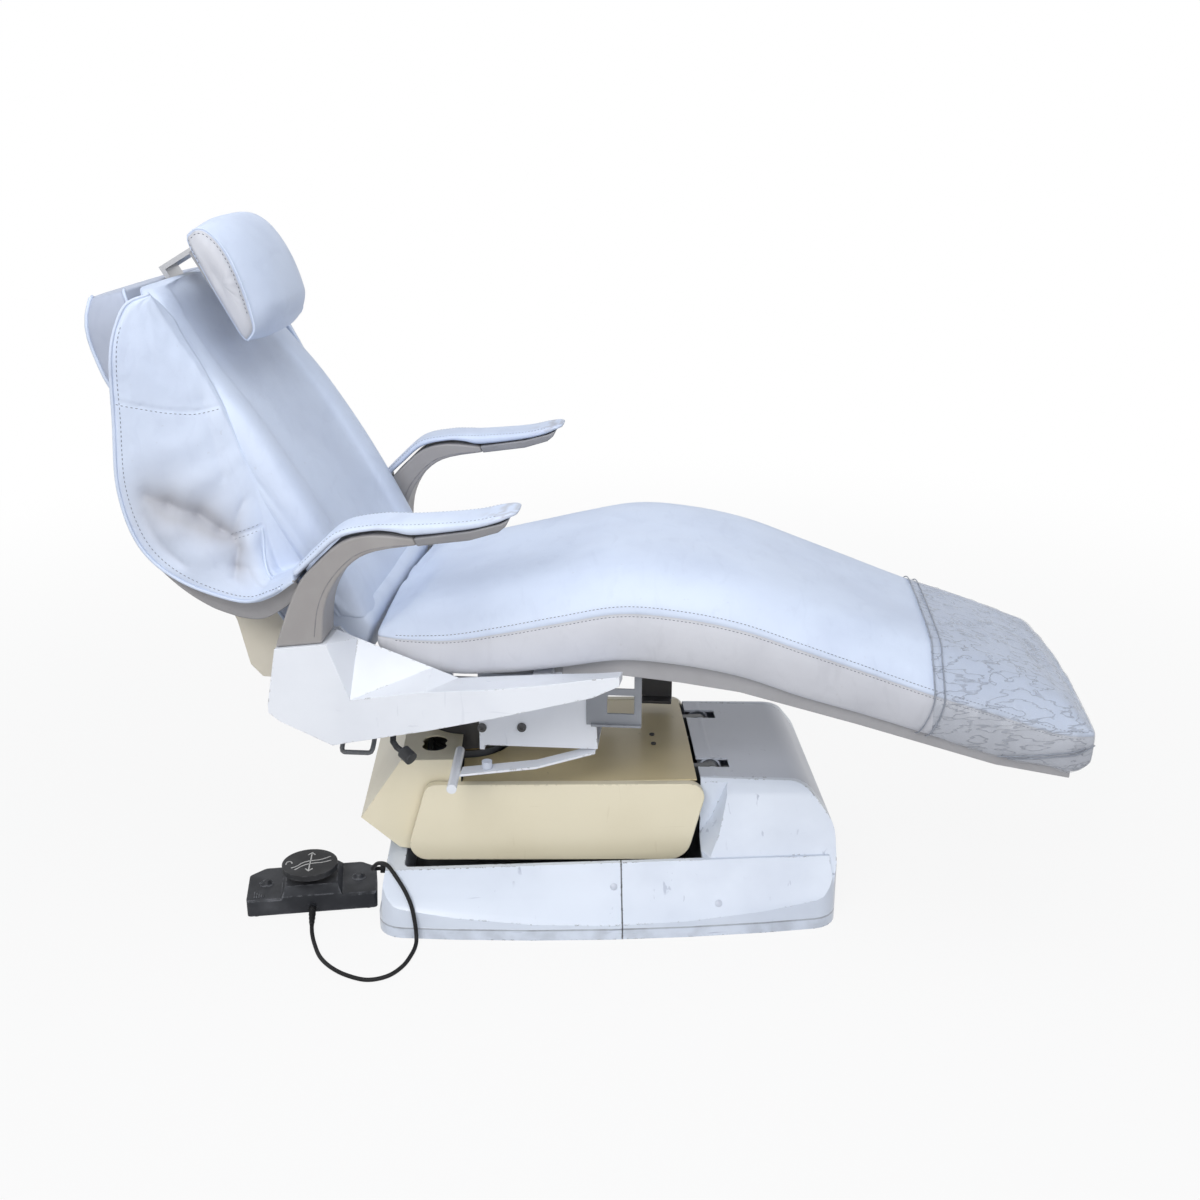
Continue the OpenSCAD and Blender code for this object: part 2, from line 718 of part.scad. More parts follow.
// Seat and back: lengths from the swivel axis and the frame plate
recline_x = -210;
recline_z = 198;
floor_t = 8;
floor_w = 380;
floor_to = 248;
floor_visible = 52;
floor_back = -80;
centre_w = 160;
cheek_plate_t = 8;
rail_w = 30;
rail_in = 205;
rail_points = [[-210, 218], [-160, 218], [-70, 128], [180, 128], [180, 98], [-90, 98], [-210, 178]];
boss_r = 20;
tie_x = [160, -60];
tie_z = 113;
tie_d = 28;
web_in = 60;
web_t = 8;
web_points = [[-78, 4], [-38, 4], [-44, 118], [-76, 118]];
recline_pin_d = 16;
post_size = [30, 20];
post_h = 4.5;
post_x = -195;
outrigger_points = [[-215, 212], [-165, 212], [-165, 184], [-215, 184]];
front_outrigger = [150, 180];
front_outrigger_z = [100, 152];
front_outrigger_t = 10;
lever_x = -71;
lever_z = 110;
lever_pin_d = 9;
lever_pin_len = 17;

// The seat, and all that turns with it, at its rest angle on the swivel
module upper() translate([swivel_x, 0, frame_z]) rotate([0, 0, -rest_swivel]) children();

seat_rear = -112;
seat_shares = [[0.014, 0.804, 0.2, 0.32], [0.045, 0.8, 0.53, 0.55], [0.116, 0.8, 0.72, 0.87],
    [0.185, 0.852, 0.86, 0.98], [0.268, 0.931, 0.96, 1.03], [0.35, 1.001, 1.0, 1.03],
    [0.432, 0.983, 1.01, 1.02], [0.514, 0.918, 1.0, 1.0], [0.595, 0.8, 1.0, 0.97],
    [0.677, 0.677, 0.93, 0.94], [0.773, 0.533, 0.88, 0.9], [0.868, 0.406, 0.88, 0.87],
    [0.945, 0.302, 0.75, 0.77], [0.983, 0.275, 0.76, 0.58], [0.998, 0.267, 0.59, 0.23]];
seat_edge = 6;
crown_shares = [0.96, 0.85, 0.6, 0.3, 0, -0.3, -0.6, -0.85, -0.96];
pan_t_shares = [[0, 0.15], [0.35, 0.42], [0.46, 0.48], [0.6, 0.34], [0.75, 0.28], [1, 0.18]];
pan_from_share = 0.045;
pan_to_share = 0.97;
pan_wide_share = 0.36;
pan_lap_share = 0.1;
pan_rear_w = 400;
pan_front_inset = 26;

function seat_row(i) = seat_shares[i];
function seat_px(i) = seat_rear + seat_row(i)[0] * seat_len;
function seat_seam(i) = seat_row(i)[1] * seat_high;
function seat_low(i) = seat_seam(i) - seat_row(i)[2] * seat_side;
function seat_half(i) =
    let (u = max(seat_row(i)[0] - 0.5, 0) * 2)
    seat_w / 2 * (1 - 0.07 * u - (i == len(seat_shares) - 1 ? 0.05 : 0) - (i == 0 ? 0.03 : 0));
function seat_ring(i, grow = 0) =
    let (x = seat_px(i) + (i == len(seat_shares) - 1 ? grow : 0), h = seat_half(i) + grow,
        top = seat_seam(i),
        low = seat_low(i), rise = seat_row(i)[3] * seat_crown + grow)
    [[x, -h + seat_edge, low], [x, h - seat_edge, low], [x, h, low + seat_edge], [x, h, top],
        for (s = crown_shares) [x, h * s, top + rise * sqrt(1 - pow(abs(s), 4))],
        [x, -h, top], [x, -h, low + seat_edge]];

seat_low_line = [for (i = [0:len(seat_shares) - 1]) [seat_px(i), seat_low(i)]];
function pan_top(x) = lookup(x, seat_low_line) - seat_gap;
function pan_low(x) = pan_top(x) - seat_side * lookup((x - seat_rear) / seat_len, pan_t_shares);
pan_xs = concat([for (r = seat_shares) if (r[0] >= pan_from_share && r[0] < pan_to_share) seat_rear
    + r[0] * seat_len],
    [seat_rear + pan_to_share * seat_len]);
pan_line = [for (x = pan_xs) [x, pan_low(x)]];

// Underside of the pan between two places, less the gap below it
function under_pan(from, to) =
    [for (x = concat([from], [for (x = pan_xs) if (x > from + overrun && x < to - overrun) x], [to]))
        [x, lookup(x, pan_line) - seat_gap]];

module seat_cushion()
    color("aliceblue") upper() loft([for (i = [0:len(seat_shares) - 1]) seat_ring(i)]);

module pan_prism(xs, half)
    along_y(concat([for (x = xs) [x, pan_top(x)]],
        [for (i = [len(xs) - 1:-1:0]) [xs[i], pan_low(xs[i])]]), -half, half);

module seat_pan()
    color("gainsboro") upper() {
        wide = seat_rear + pan_wide_share * seat_len;
        pan_prism([for (x = pan_xs) if (x <= wide + overrun) x], pan_rear_w / 2);
        pan_prism([for (x = pan_xs) if (x >= wide - pan_lap_share * seat_len) x],
            seat_half(len(seat_shares) - 2) - pan_front_inset / 2);
    }

// Toe cover: a thin clear skin over the last part of the leg cushion
toe_from_row = 10;
toe_gap = 0.5;
toe_t = 1.5;
toe_hem = 24;

module toe_skin(grow) loft([for (i = [toe_from_row - 1:len(seat_shares) - 1]) seat_ring(i, grow)]);

module toe_cover()
    color("lightgray") upper() difference() {
        intersection() {
            toe_skin(toe_gap + toe_t);
            block([seat_px(toe_from_row), -seat_w, 0], [2 * seat_len, seat_w, seat_len]);
        }
        toe_skin(toe_gap);
        along_y(concat([for (i = [toe_from_row - 1:len(seat_shares) - 1])
            [seat_px(i) + (i == len(seat_shares) - 1 ? toe_hem : 0), seat_low(i) + toe_hem]],
            [[2 * seat_len, -seat_len], [0, -seat_len]]), -seat_w, seat_w);
    }

module seat_frame()
    color("white") upper() difference() {
        union() {
            block([floor_visible, -floor_w / 2, 0], [floor_to, floor_w / 2, floor_t]);
            block([floor_visible, -floor_w / 2, -floor_t], [floor_visible + floor_t, floor_w / 2, floor_t]);
            block([floor_back, -centre_w / 2, 0], [floor_visible + floor_t, centre_w / 2, floor_t]);
            both_sides() {
                along_y(cheek_points, floor_w / 2 - cheek_plate_t, floor_w / 2);
                along_y(rail_points, rail_in, rail_in + rail_w);
                bar_y(recline_x, recline_z, 2 * boss_r, rail_in, rail_in + rail_w);
                along_y(web_points, web_in, web_in + web_t);
                along_y(outrigger_points, rail_in + rail_w - overrun, arm_y + arm_w / 3);
                block([post_x - post_size.x / 2, arm_y - post_size.y / 2, outrigger_points[0].y - overrun],
                    [post_x + post_size.x / 2, arm_y + post_size.y / 2, outrigger_points[0].y + post_h]);
                block([front_outrigger[0], rail_in, front_outrigger_z[0]],
                    [front_outrigger[1], rail_in + rail_w, front_outrigger_z[1]]);
                block([front_outrigger[0], rail_in, front_outrigger_z[1] - front_outrigger_t],
                    [front_outrigger[1], arm_y + arm_w / 3, front_outrigger_z[1]]);
                bar_y(lever_x, lever_z, lever_pin_d, rail_in, rail_in + rail_w + lever_pin_len);
            }
            for (x = tie_x) bar_y(x, tie_z, tie_d, -rail_in - rail_w / 2, rail_in + rail_w / 2);
        }
        bar_y(recline_x, recline_z, recline_pin_d + 2 * fit, -seat_w, seat_w);
        translate([0, 0, -2 * floor_t]) cylinder(d = drum_d + 2 * side_gap, h = 2 * floor_t, $fn = round_fn);
    }
cheek_nose = [244, 88];
cheek_back = 12;
cheek_points = concat([[floor_to, 0], [floor_visible, 0]], under_pan(floor_visible, floor_to - cheek_back),
    [cheek_nose]);

// Two dark screws in the near cheek
frame_screw_x = [57, 123];
frame_screw_z = [32, 35];
frame_screw_d = 15;
frame_screw_t = 4;
frame_screw_gap = 0.1;

module frame_screws()
    color("dimgray") upper() for (i = [0:1])
        translate([frame_screw_x[i], -floor_w / 2 - frame_screw_t - frame_screw_gap,
            frame_screw_z[i]]) rotate([-90, 0, 0])
            difference() {
                cylinder(d = frame_screw_d, h = frame_screw_t, $fn = round_fn);
                cylinder(d = frame_screw_d / 2, h = frame_screw_t / 2, $fn = 6);
            }

// Grey guard plate with two windows, and the dark bracket on the far side
guard_low = 45;
guard_from = 230;
guard_to = 320;
guard_points = concat(under_pan(guard_from, guard_to), [[guard_to, guard_low], [guard_from, guard_low]]);
guard_t = 4;
guard_windows = [[[264, 66], [308, 98]], [[264, 110], [308, 136]]];
far_bracket_x = [300, 357];
far_bracket_low = -64;
far_bracket_y = 178;
far_bracket_t = 6;

module window_guard()
    color("darkgray") upper() difference() {
        union() {
            along_y(guard_points, -floor_w / 2 - guard_t - seat_gap, -floor_w / 2 - seat_gap);
            block([guard_from + floor_t, -floor_w / 2 - 3 * guard_t, guard_low],
                [guard_to, -floor_w / 2 - seat_gap, guard_low + guard_t]);
        }
        for (w = guard_windows)
            block([w[0].x, -floor_w, w[0].y], [w[1].x, 0, w[1].y]);
    }

module far_bracket()
    color("dimgray") upper() difference() {
        union() {
            along_y(concat(under_pan(far_bracket_x[0], far_bracket_x[1]),
                [[far_bracket_x[1], far_bracket_low], [far_bracket_x[0], far_bracket_low]]),
                far_bracket_y, far_bracket_y + far_bracket_t);
            block([far_bracket_x[0], far_bracket_y - 4 * far_bracket_t, far_bracket_low],
                [far_bracket_x[1], far_bracket_y + overrun, far_bracket_low + far_bracket_t]);
        }
        bar_y((far_bracket_x[0] + far_bracket_x[1]) / 2, 0, guard_t * 4, 0, floor_w);
    }

// Side covers: rings of a shell that is open towards the seat
cover_in_y = 272;
cover_out_y = 340;
cover_wall = 4;
cover_rows = [[-251, 112, 126, 136], [-234, 98, 218, 218], [-153, 60, 228, 228], [-121, 67, 138, 215],
    [-4, 90, 155, 169], [37, 100, 158, 153], [102, 115, 163, 158], [180, 135, 173, 164], [254, 155, 185,
    168], [294, 175, 190, 172]];

function cover_ring(i, inset) =
    let (r = cover_rows[i], foot = min(r[1], r[3] - 3 * cover_wall),
        y = cover_in_y - (inset > 0 ? overrun : 0),
        x = r[0] + (i == 0 ? inset : i == len(cover_rows) - 1 ? -inset : 0))
    [[x, y, foot + inset], [x, cover_out_y - inset, r[1] + inset], [x, cover_out_y - inset, r[2] - inset],
        [x, y, r[3] - inset]];

module cover_form(inset) loft([for (i = [0:len(cover_rows) - 1]) cover_ring(i, inset)]);
module side_cover()
    difference() {
        cover_form(0);
        cover_form(cover_wall);
    }
module far_side_cover() color("white") upper() side_cover();
module near_side_cover() color("white") upper() mirror([0, 1, 0]) side_cover();

// Wire hook under the rear of the near side cover
hook_x = [-159, -109];
hook_z = 18;
hook_top = [162, 125];
hook_d = 8;
hook_out = 34;

hook_sides = 10;

module rod_between(a, b, d)
    translate(a) rotate([0, acos((b - a).z / norm(b - a)), atan2((b - a).y, (b - a).x)])
        cylinder(d = d, h = norm(b - a), $fn = hull_fn);

// Tube along a path, its rings turned square to it and kept from twisting by a fixed direction
function tube_ring(c, t, d, sides, across) =
    let (side = cross(across, t) / norm(cross(across, t)), up = cross(t, side))
    [for (j = [0:sides - 1]) let (a = 360 * j / sides) c + d / 2 * (cos(a) * side + sin(a) * up)];

module tube(path, d, sides, across)
    let (k = len(path) - 1)
    loft([for (i = [0:k]) let (t = path[min(i + 1, k)] - path[max(i - 1, 0)])
        tube_ring(path[i], t / norm(t), d, sides, across)]);

module rear_hook()
    color("gray") upper() {
        y = -rail_in - rail_w - hook_d / 2 - 2 * seat_gap;
        legs = [for (i = [0, 1]) [[hook_x[i], y, hook_top[i]], [hook_x[i], y, hook_z + hook_out],
            [hook_x[i], y - hook_out * 0.8, hook_z + hook_d / 2]]];
        foot = [for (s = [0.12, 0.88]) [hook_x[0] + s * (hook_x[1] - hook_x[0]), y - hook_out, hook_z]];
        tube(concat(curve(concat(legs[0], [foot[0]]), 3), curve(concat([foot[1]], reversed(legs[1])), 3)),
            hook_d, hook_sides, [0, 1, 0]);
    }

// White rod with its sheet bracket and grey knob
grip_d = 16;
grip_from = [12, -156];
grip_to = [24, -300];
grip_z = -28;
tongue = [[245, -186], [150, -214], [28, -236]];
tongue_z = [-0.3, -18, -26];
tongue_w = 30;
tongue_t = 4;
knob_x = 70;
knob_d = 17;
knob_h = 12;

module grip_bracket()
    color("white") upper() loft([for (i = [0:2])
        let (x = tongue[i].x, y = tongue[i].y, z = tongue_z[i])
        [[x, y - tongue_w / 2, z - tongue_t], [x, y + tongue_w / 2, z - tongue_t], [x, y + tongue_w / 2, z],
            [x, y - tongue_w / 2, z]]]);

module grip_rod()
    color("white") upper()
        rod_between([grip_from.x, grip_from.y, grip_z], [grip_to.x, grip_to.y, grip_z], grip_d);

module grip_knob()
    color("gray") upper() {
        u = (knob_x - tongue[1].x) / (tongue[2].x - tongue[1].x);
        z = tongue_z[1] + u * (tongue_z[2] - tongue_z[1]);
        translate([knob_x, tongue[1].y + u * (tongue[2].y - tongue[1].y), z + 3 * seat_gap])
            cylinder(d = knob_d, h = knob_h, $fn = round_fn);
    }

// Brake lever: bent tube with a black cap
lever_tube_d = 10;
lever_path = [[-71, -245, 110], [-71, -245, 72], [-71, -283, 44], [-45, -302, 31]];
lever_cap_d = 22;

lever_steps = 3;

module brake_lever()
    color("black") upper() difference() {
        union() {
            tube(curve(lever_path, lever_steps), lever_tube_d, hook_sides, [1, 0, 0]);
            rod_between(lever_path[3] - (lever_path[3] - lever_path[2]) / 4,
                lever_path[3] + (lever_path[3] - lever_path[2]) / 3, lever_cap_d);
            bar_y(lever_x, lever_z, 2 * lever_pin_d, -rail_in - rail_w - lever_pin_len + side_gap,
                -rail_in - rail_w - seat_gap);
        }
        bar_y(lever_x, lever_z, lever_pin_d + 2 * fit, -seat_w, 0);
    }

// Arms: curved frame, tray and pad with its strap
arm_outer = [[-234, 218.6], [-212, 278], [-189, 326], [-161, 356], [-121, 390], [-73, 402], [-12, 398]];
arm_inner = [[-160, 227.5], [-154, 282], [-137, 322], [-106, 358], [-70, 376], [-7, 387]];
arm_steps = 3;
tray_points = [[-6.4, 387], [73, 398], [115, 411], [127, 421], [130, 430], [118, 424], [73, 412],
    [-11.4, 399]];
pad_rows = [[-193, 333, -201, 339], [-164, 360, -171, 368], [-123, 394.5, -128, 405], [-74, 407, -76,
    417], [-43, 406, -43, 419], [-10, 401, -8, 420], [73, 412.5, 71, 427], [115, 424, 113, 436], [132,
    432, 134, 439.5], [142, 435, 144, 438]];
pad_edge_share = 0.06;

module arm_frame()
    along_y(concat(curve(arm_outer, arm_steps), [for (p = reversed(curve(arm_inner, arm_steps))) p]),
        arm_y - arm_w / 2, arm_y + arm_w / 2);
module far_arm_frame() color("tan") upper() arm_frame();
module near_arm_frame() color("tan") upper() mirror([0, 1, 0]) arm_frame();

module arm_trays()
    color("darkgray") upper() both_sides() along_y(tray_points, arm_y - pad_w / 2, arm_y + pad_w / 2);

function pad_ring(row) =
    let (b = [row[0], row[1]], t = [row[2], row[3]], h = pad_w / 2, e = pad_edge_share * pad_w,
        ys = [-h + e, h - e, h, h, h - e, -h + e, -h, -h], us = [0, 0, 0.3, 0.7, 1, 1, 0.7, 0.3])
    [for (j = [0:7]) [b.x + us[j] * (t.x - b.x), arm_y + ys[j], b.y + us[j] * (t.y - b.y)]];

module arm_pad() loft([for (r = pad_rows) pad_ring(r)]);
module far_arm_pad() color("aliceblue") upper() arm_pad();
module near_arm_pad() color("aliceblue") upper() mirror([0, 1, 0]) arm_pad();

module recline_pins()
    color("silver") upper() both_sides()
        bar_y(recline_x, recline_z, recline_pin_d, ear_in - side_gap, rail_in + rail_w + side_gap);

// Back: lengths from the recline pins, along and across the leaning back
module back() upper() translate([recline_x, 0, recline_z]) rotate([0, -back_lean, 0]) children();

board_w = 370;
board_x = 38;
board_side_t = 4;
board_top_share = 0.9;
ear_in = 160;
ear_w = 20;
back_rear = 55.3;
batten_w = 30;
bar_w = 60;
bar_t = 8;
bar_x = 44.5;
bar_low_share = 0.565;
guide_share = 0.61;
guide_to_share = 0.92;
hinge_x = 125;
hinge_share = 0.993;
ear_low = -16;

module back_frame()
    color("gray") back() difference() {
        union() {
            block([board_x, -board_w / 2, ear_low], [board_x + board_side_t, board_w / 2,
                board_top_share * back_len]);
            both_sides() {
                bar_y(0, 0, 2 * (boss_r - side_gap), ear_in, ear_in + ear_w);
                block([0, ear_in, ear_low], [board_x + overrun, ear_in + ear_w, -ear_low]);
                block([board_x, board_w / 2 - batten_w, -ear_low * 3],
                    [back_rear - seat_gap, board_w / 2, board_top_share * back_len]);
                block([board_x, bar_w / 2 + fit, guide_share * back_len],
                    [back_rear - seat_gap, bar_w / 2 + bar_t, guide_to_share * back_len]);
            }
        }
        bar_y(0, 0, recline_pin_d + 2 * fit, -board_w, board_w);
    }

// Back cushion: height, front, half width and slope of each ring
cushion_shares = [[-0.042, 0.78, 0.983, 0.67], [0.032, 0.88, 1, 0.35], [0.115, 0.95, 1, 0.1], [0.252, 1,
    1, 0],
    [0.394, 0.98, 1, 0], [0.55, 0.9, 0.99, 0], [0.718, 0.66, 0.95, 0], [0.839, 0.56, 0.885, 0.1],
    [0.911, 0.51, 0.8, 0.25], [0.935, 0.4, 0.745, 0.4]];
bolster_shares = [[0.967, 0], [1, 0.25], [1, 0.6], [0.955, 0.9], [0.86, 1], [0.72, 0.96], [0.62, 0.88],
    [0.3, 0.87]];

function cushion_ring(r) =
    let (h = r[2] * back_w / 2, t = r[1] * back_t, side = [for (p = bolster_shares) [p.y * t, p.x * h]],
        all = concat(side, [for (p = reversed(side)) [p.x, -p.y]]))
    [for (p = all) [back_rear + p.x, p.y, r[0] * back_len + r[3] * (t - p.x)]];

module back_cushion()
    color("aliceblue") back() loft([for (r = cushion_shares) cushion_ring(r)]);

// Rear pad: height, rear face, half width and slope of each ring, drawn for a back of a given length and half width
pad_front = 37.7;
drawn_len = 620;
drawn_half = 240;
rear_pad_rows = [[34, -30, 218, 0], [200, -30, 226, 0], [396, -30, 226, 0], [412, -58, 226, 0], [480,
    -57, 222, 0],
    [530, -53, 212, 0.05], [569, -42, 200, 0.2], [600, -18, 182, 0.33]];
pad_round = 14;

function rear_ring(r) =
    let (f = pad_front, b = r[1], h = r[2] / drawn_half * back_w / 2, e = pad_round)
    [for (p = [[f, h - e], [f - e, h], [b + e, h], [b, h - e], [b, -h + e], [b + e, -h], [f - e, -h],
        [f, -h + e]])
        [p.x, p.y, r[0] / drawn_len * back_len + r[3] * (f - p.x)]];

module back_rear_pad()
    color("lightgray") back() loft([for (r = rear_pad_rows) rear_ring(r)]);

// Rear shell: a tray that is open towards the pad
shell_points = [[-30.3, -38], [-112, -38], [-128, -28], [-134, 0], [-110, 74], [-70, 390], [-30.3, 390]];
shell_inner = [[-20, -34], [-111, -34], [-124.5, -26], [-130, 0], [-106, 74], [-66.5, 386], [-20, 386]];
shell_w = 380;
shell_wall = 4;

module back_shell()
    color("wheat") back() difference() {
        along_y(shell_points, -shell_w / 2, shell_w / 2);
        along_y(shell_inner, -shell_w / 2 + shell_wall, shell_w / 2 - shell_wall);
    }

// Wings: the line by the cushion, and the outer edge, from top to bottom
wing_valley = [[66, 575], [92, 490], [94, 440], [88, 365], [74, 290], [48, 200], [22, 112]];
wing_edge = [[118, 560], [39, 512], [-33, 437], [-94, 349], [-117, 262], [-94, 187], [8, 104]];
wing_tuck = 0.5;
wing_in = back_w / 2 - wing_tuck;
wing_out = 300;
wing_t = 12;
wing_bulge = 10;

function wing_ring(v, e) =
    let (a = [v.x, wing_in], b = [e.x, wing_out], d = (b - a) / norm(b - a), n = [d.y, -d.x],
        m = (a + b) / 2 + [abs(n.x), abs(n.y)] * wing_bulge / 2, k = [for (p = [a, m, b]) p],
        back_side = [b - [abs(n.x), 0] * wing_t / 2, m - [abs(n.x), 0] * wing_t, a - [wing_t, 0]],
        zs = [v.y, (v.y + e.y) / 2, e.y, e.y, (v.y + e.y) / 2, v.y], all = concat(k, back_side))
    [for (j = [0:5]) [all[j].x, all[j].y, zs[j]]];

module wing()
    let (vs = curve(wing_valley, 2), es = curve(wing_edge, 2))
    loft([for (i = [0:len(vs) - 1]) wing_ring(vs[i], es[i])]);
module far_wing() color("aliceblue") back() wing();
module near_wing() color("aliceblue") back() mirror([0, 1, 0]) wing();

// Headrest: sliding bar, tilting pan and crescent cushion
hinge_d = 18;
hinge_pin_d = 8;
hinge_pin_len = 92;
pan_x = 135;
pan_plate_t = 5;
pan_low_share = 0.735;
pan_high_share = 0.97;
pan_half_share = 0.41;
lug_w = 14;

module headrest_bar()
    color("silver") back() {
        top = hinge_share * back_len;
        block([bar_x, -bar_w / 2, bar_low_share * back_len], [bar_x + bar_t, bar_w / 2, top]);
        block([bar_x, -bar_w / 2, top - bar_t], [hinge_x, bar_w / 2, top]);
        bar_y(hinge_x, top, hinge_d, -bar_w / 2, bar_w / 2);
        bar_y(hinge_x, top, hinge_pin_d, -hinge_pin_len / 2, hinge_pin_len / 2);
    }

module headrest_pan()
    color("gainsboro") back() difference() {
        top = hinge_share * back_len;
        union() {
            block([pan_x, -pan_half_share * head_w, pan_low_share * back_len],
                [pan_x + pan_plate_t, pan_half_share * head_w, pan_high_share * back_len]);
            both_sides() {
                bar_y(hinge_x, top, hinge_d, bar_w / 2 + side_gap / 2, bar_w / 2 + side_gap / 2 + lug_w);
                along_y([[hinge_x, top - hinge_d / 2], [hinge_x + hinge_d / 2, top],
                    [pan_x + pan_plate_t, pan_high_share * back_len - overrun],
                    [pan_x, pan_high_share * back_len - 2 * hinge_d]],
                    bar_w / 2 + side_gap / 2, bar_w / 2 + side_gap / 2 + lug_w);
            }
        }
        bar_y(hinge_x, top, hinge_pin_d + 2 * fit, -head_w, head_w);
    }

head_mid = [[140.3, 447], [175, 442], [203, 460], [211, 478], [219, 520], [220, 562], [213, 600], [198, 627],
    [180, 637], [158, 631], [141, 608]];
head_side = [[141, 452], [152, 446], [162, 450], [168, 467], [180, 508], [188, 549], [191, 585], [191, 612],
    [187, 627], [168, 622], [150, 607]];
head_end_share = 0.85;
head_y_shares = [-1, -0.96, -0.86, -0.66, -0.36, 0, 0.36, 0.66, 0.86, 0.96, 1];

function head_ring(s) =
    let (k = 1 - pow(abs(s), 3), shrink = abs(s) == 1 ? head_end_share : 1,
        c = sum_of(head_side) / len(head_side))
    [for (j = [0:len(head_mid) - 1])
        let (p = head_side[j] + (head_mid[j] - head_side[j]) * k, q = c + (p - c) * shrink)
        [q.x, s * head_w / 2, q.y]];

module headrest_cushion()
    color("aliceblue") back() loft([for (s = head_y_shares) head_ring(s)]);

// Foot control: lengths from the middle of its front edge on the floor
pedal_from_corner = [-120, 104];
pedal_at = [-base_len / 2, -base_w / 2] + pedal_from_corner;
pedal_turn = 6.1;
foot_h = 3;
foot_d = 14;
foot_shares = [[-0.43, 0.1], [0.43, 0.1], [-0.36, 0.85], [0.36, 0.85]];
case_shares = [[-0.5, 0], [0.5, 0], [0.5, 0.8], [0.38, 1], [-0.38, 1], [-0.5, 0.8]];
case_radii = [7, 7, 10, 14, 14, 10];
case_bevel = 3;
block_w = 104;
block_h = 48;
block_slope = 16;
boss_shares = [[-0.36, 0.52], [0.36, 0.52]];
cone_d = 20;
cone_h = 7;
disc_x = -3;
disc_y = 50;
disc_z = 62;
disc_t = 10;
stem_d = 16;
stem_z = 24;
stem_pin_d = 6;
stem_pin_half = 21;
yoke_z = 55;
yoke_half = 14;
yoke_in = 9;
cavity_wall = 4;
gland_d = 14;
gland_len = 5;
gland_z = 14;

module pedal() translate([pedal_at.x, pedal_at.y, 0]) rotate([0, 0, pedal_turn]) children();

module case_plan(low, high)
    translate([0, 0, low]) linear_extrude(high - low)
        polygon(rounded([for (p = case_shares) [p.x * pedal_len, p.y * pedal_w]], case_radii));

module pedal_case()
    color("dimgray") pedal() {
        difference() {
            union() {
                intersection() {
                    case_plan(foot_h, pedal_h);
                    along_x([[-overrun, 0], [-overrun, pedal_h - case_bevel], [case_bevel, pedal_h],
                        [pedal_w, pedal_h],
                        [pedal_w, 0]], -pedal_len, pedal_len);
                }
                intersection() {
                    case_plan(foot_h, block_h);
                    along_x([[0, foot_h], [0, pedal_h + case_bevel], [block_slope, block_h],
                        [pedal_w - block_slope, block_h], [pedal_w, pedal_h]], -block_w / 2, block_w / 2);
                    along_y([[-block_w / 2, foot_h], [block_w / 2, foot_h], [block_w / 2, pedal_h],
                        [block_w / 2 - block_slope / 2, block_h], [-block_w / 2 + block_slope / 2, block_h],
                        [-block_w / 2, pedal_h]], 0, pedal_w);
                }
                for (p = boss_shares)
                    translate([p.x * pedal_len, p.y * pedal_w, pedal_h - overrun])
                        cylinder(d1 = cone_d, d2 = cone_d / 2, h = cone_h, $fn = round_fn);
                bar_y(0, gland_z, gland_d, -gland_len, overrun);
            }
            block([-block_w / 2 + block_slope, block_slope, foot_h + cavity_wall],
                [block_w / 2 - block_slope, pedal_w - block_slope, block_h - cavity_wall]);
            translate([disc_x, disc_y, foot_h + cavity_wall])
                cylinder(d = stem_d + 2 * yoke_half - stem_d / 2, h = block_h, $fn = round_fn);
        }
        for (s = [-1, 1]) translate([disc_x + s * (stem_pin_half - foot_h), disc_y, 0]) difference() {
            block([-foot_h, -stem_pin_d, foot_h + cavity_wall - overrun], [foot_h, stem_pin_d,
                stem_z + stem_pin_d]);
            translate([-foot_h - overrun, 0, stem_z]) rotate([0, 90, 0])
                cylinder(d = stem_pin_d + 2 * fit, h = 4 * foot_h, $fn = round_fn);
        }
    }

module pedal_feet()
    color("black") pedal() for (p = foot_shares)
        translate([p.x * pedal_len, p.y * pedal_w, 0]) cylinder(d = foot_d, h = foot_h, $fn = round_fn);

module disc_stem()
    color("gray") pedal() translate([disc_x, disc_y, 0]) {
        translate([0, 0, stem_z - stem_pin_d]) cylinder(d = stem_d, h = yoke_z - stem_z + stem_pin_d,
            $fn = round_fn);
        translate([-stem_pin_half, 0, stem_z]) rotate([0, 90, 0])
            cylinder(d = stem_pin_d, h = 2 * stem_pin_half, $fn = round_fn);
        bar_y(0, yoke_z, stem_pin_d, -yoke_half, yoke_half);
    }

module pedal_disc()
    color("black") pedal() translate([disc_x, disc_y, 0]) {
        translate([0, 0, disc_z]) cylinder(d = disc_d, h = disc_t, $fn = round_fn);
        both_sides() difference() {
            block([-stem_pin_d, yoke_in, yoke_z - stem_pin_d], [stem_pin_d, yoke_half, disc_z + overrun]);
            bar_y(0, yoke_z, stem_pin_d + 2 * fit, 0, 2 * yoke_half);
        }
    }

// Cord from the foot control to the grommet in the head end of the base
grommet_in = 142;
grommet_z = 64;
grommet_d = 16;
grommet_out = 4;
grommet_len = 22;
grommet_from = -base_len / 2 - grommet_out;
grommet_y = -base_w / 2 + grommet_in;
cord_sides = 8;
cord_steps = 2;

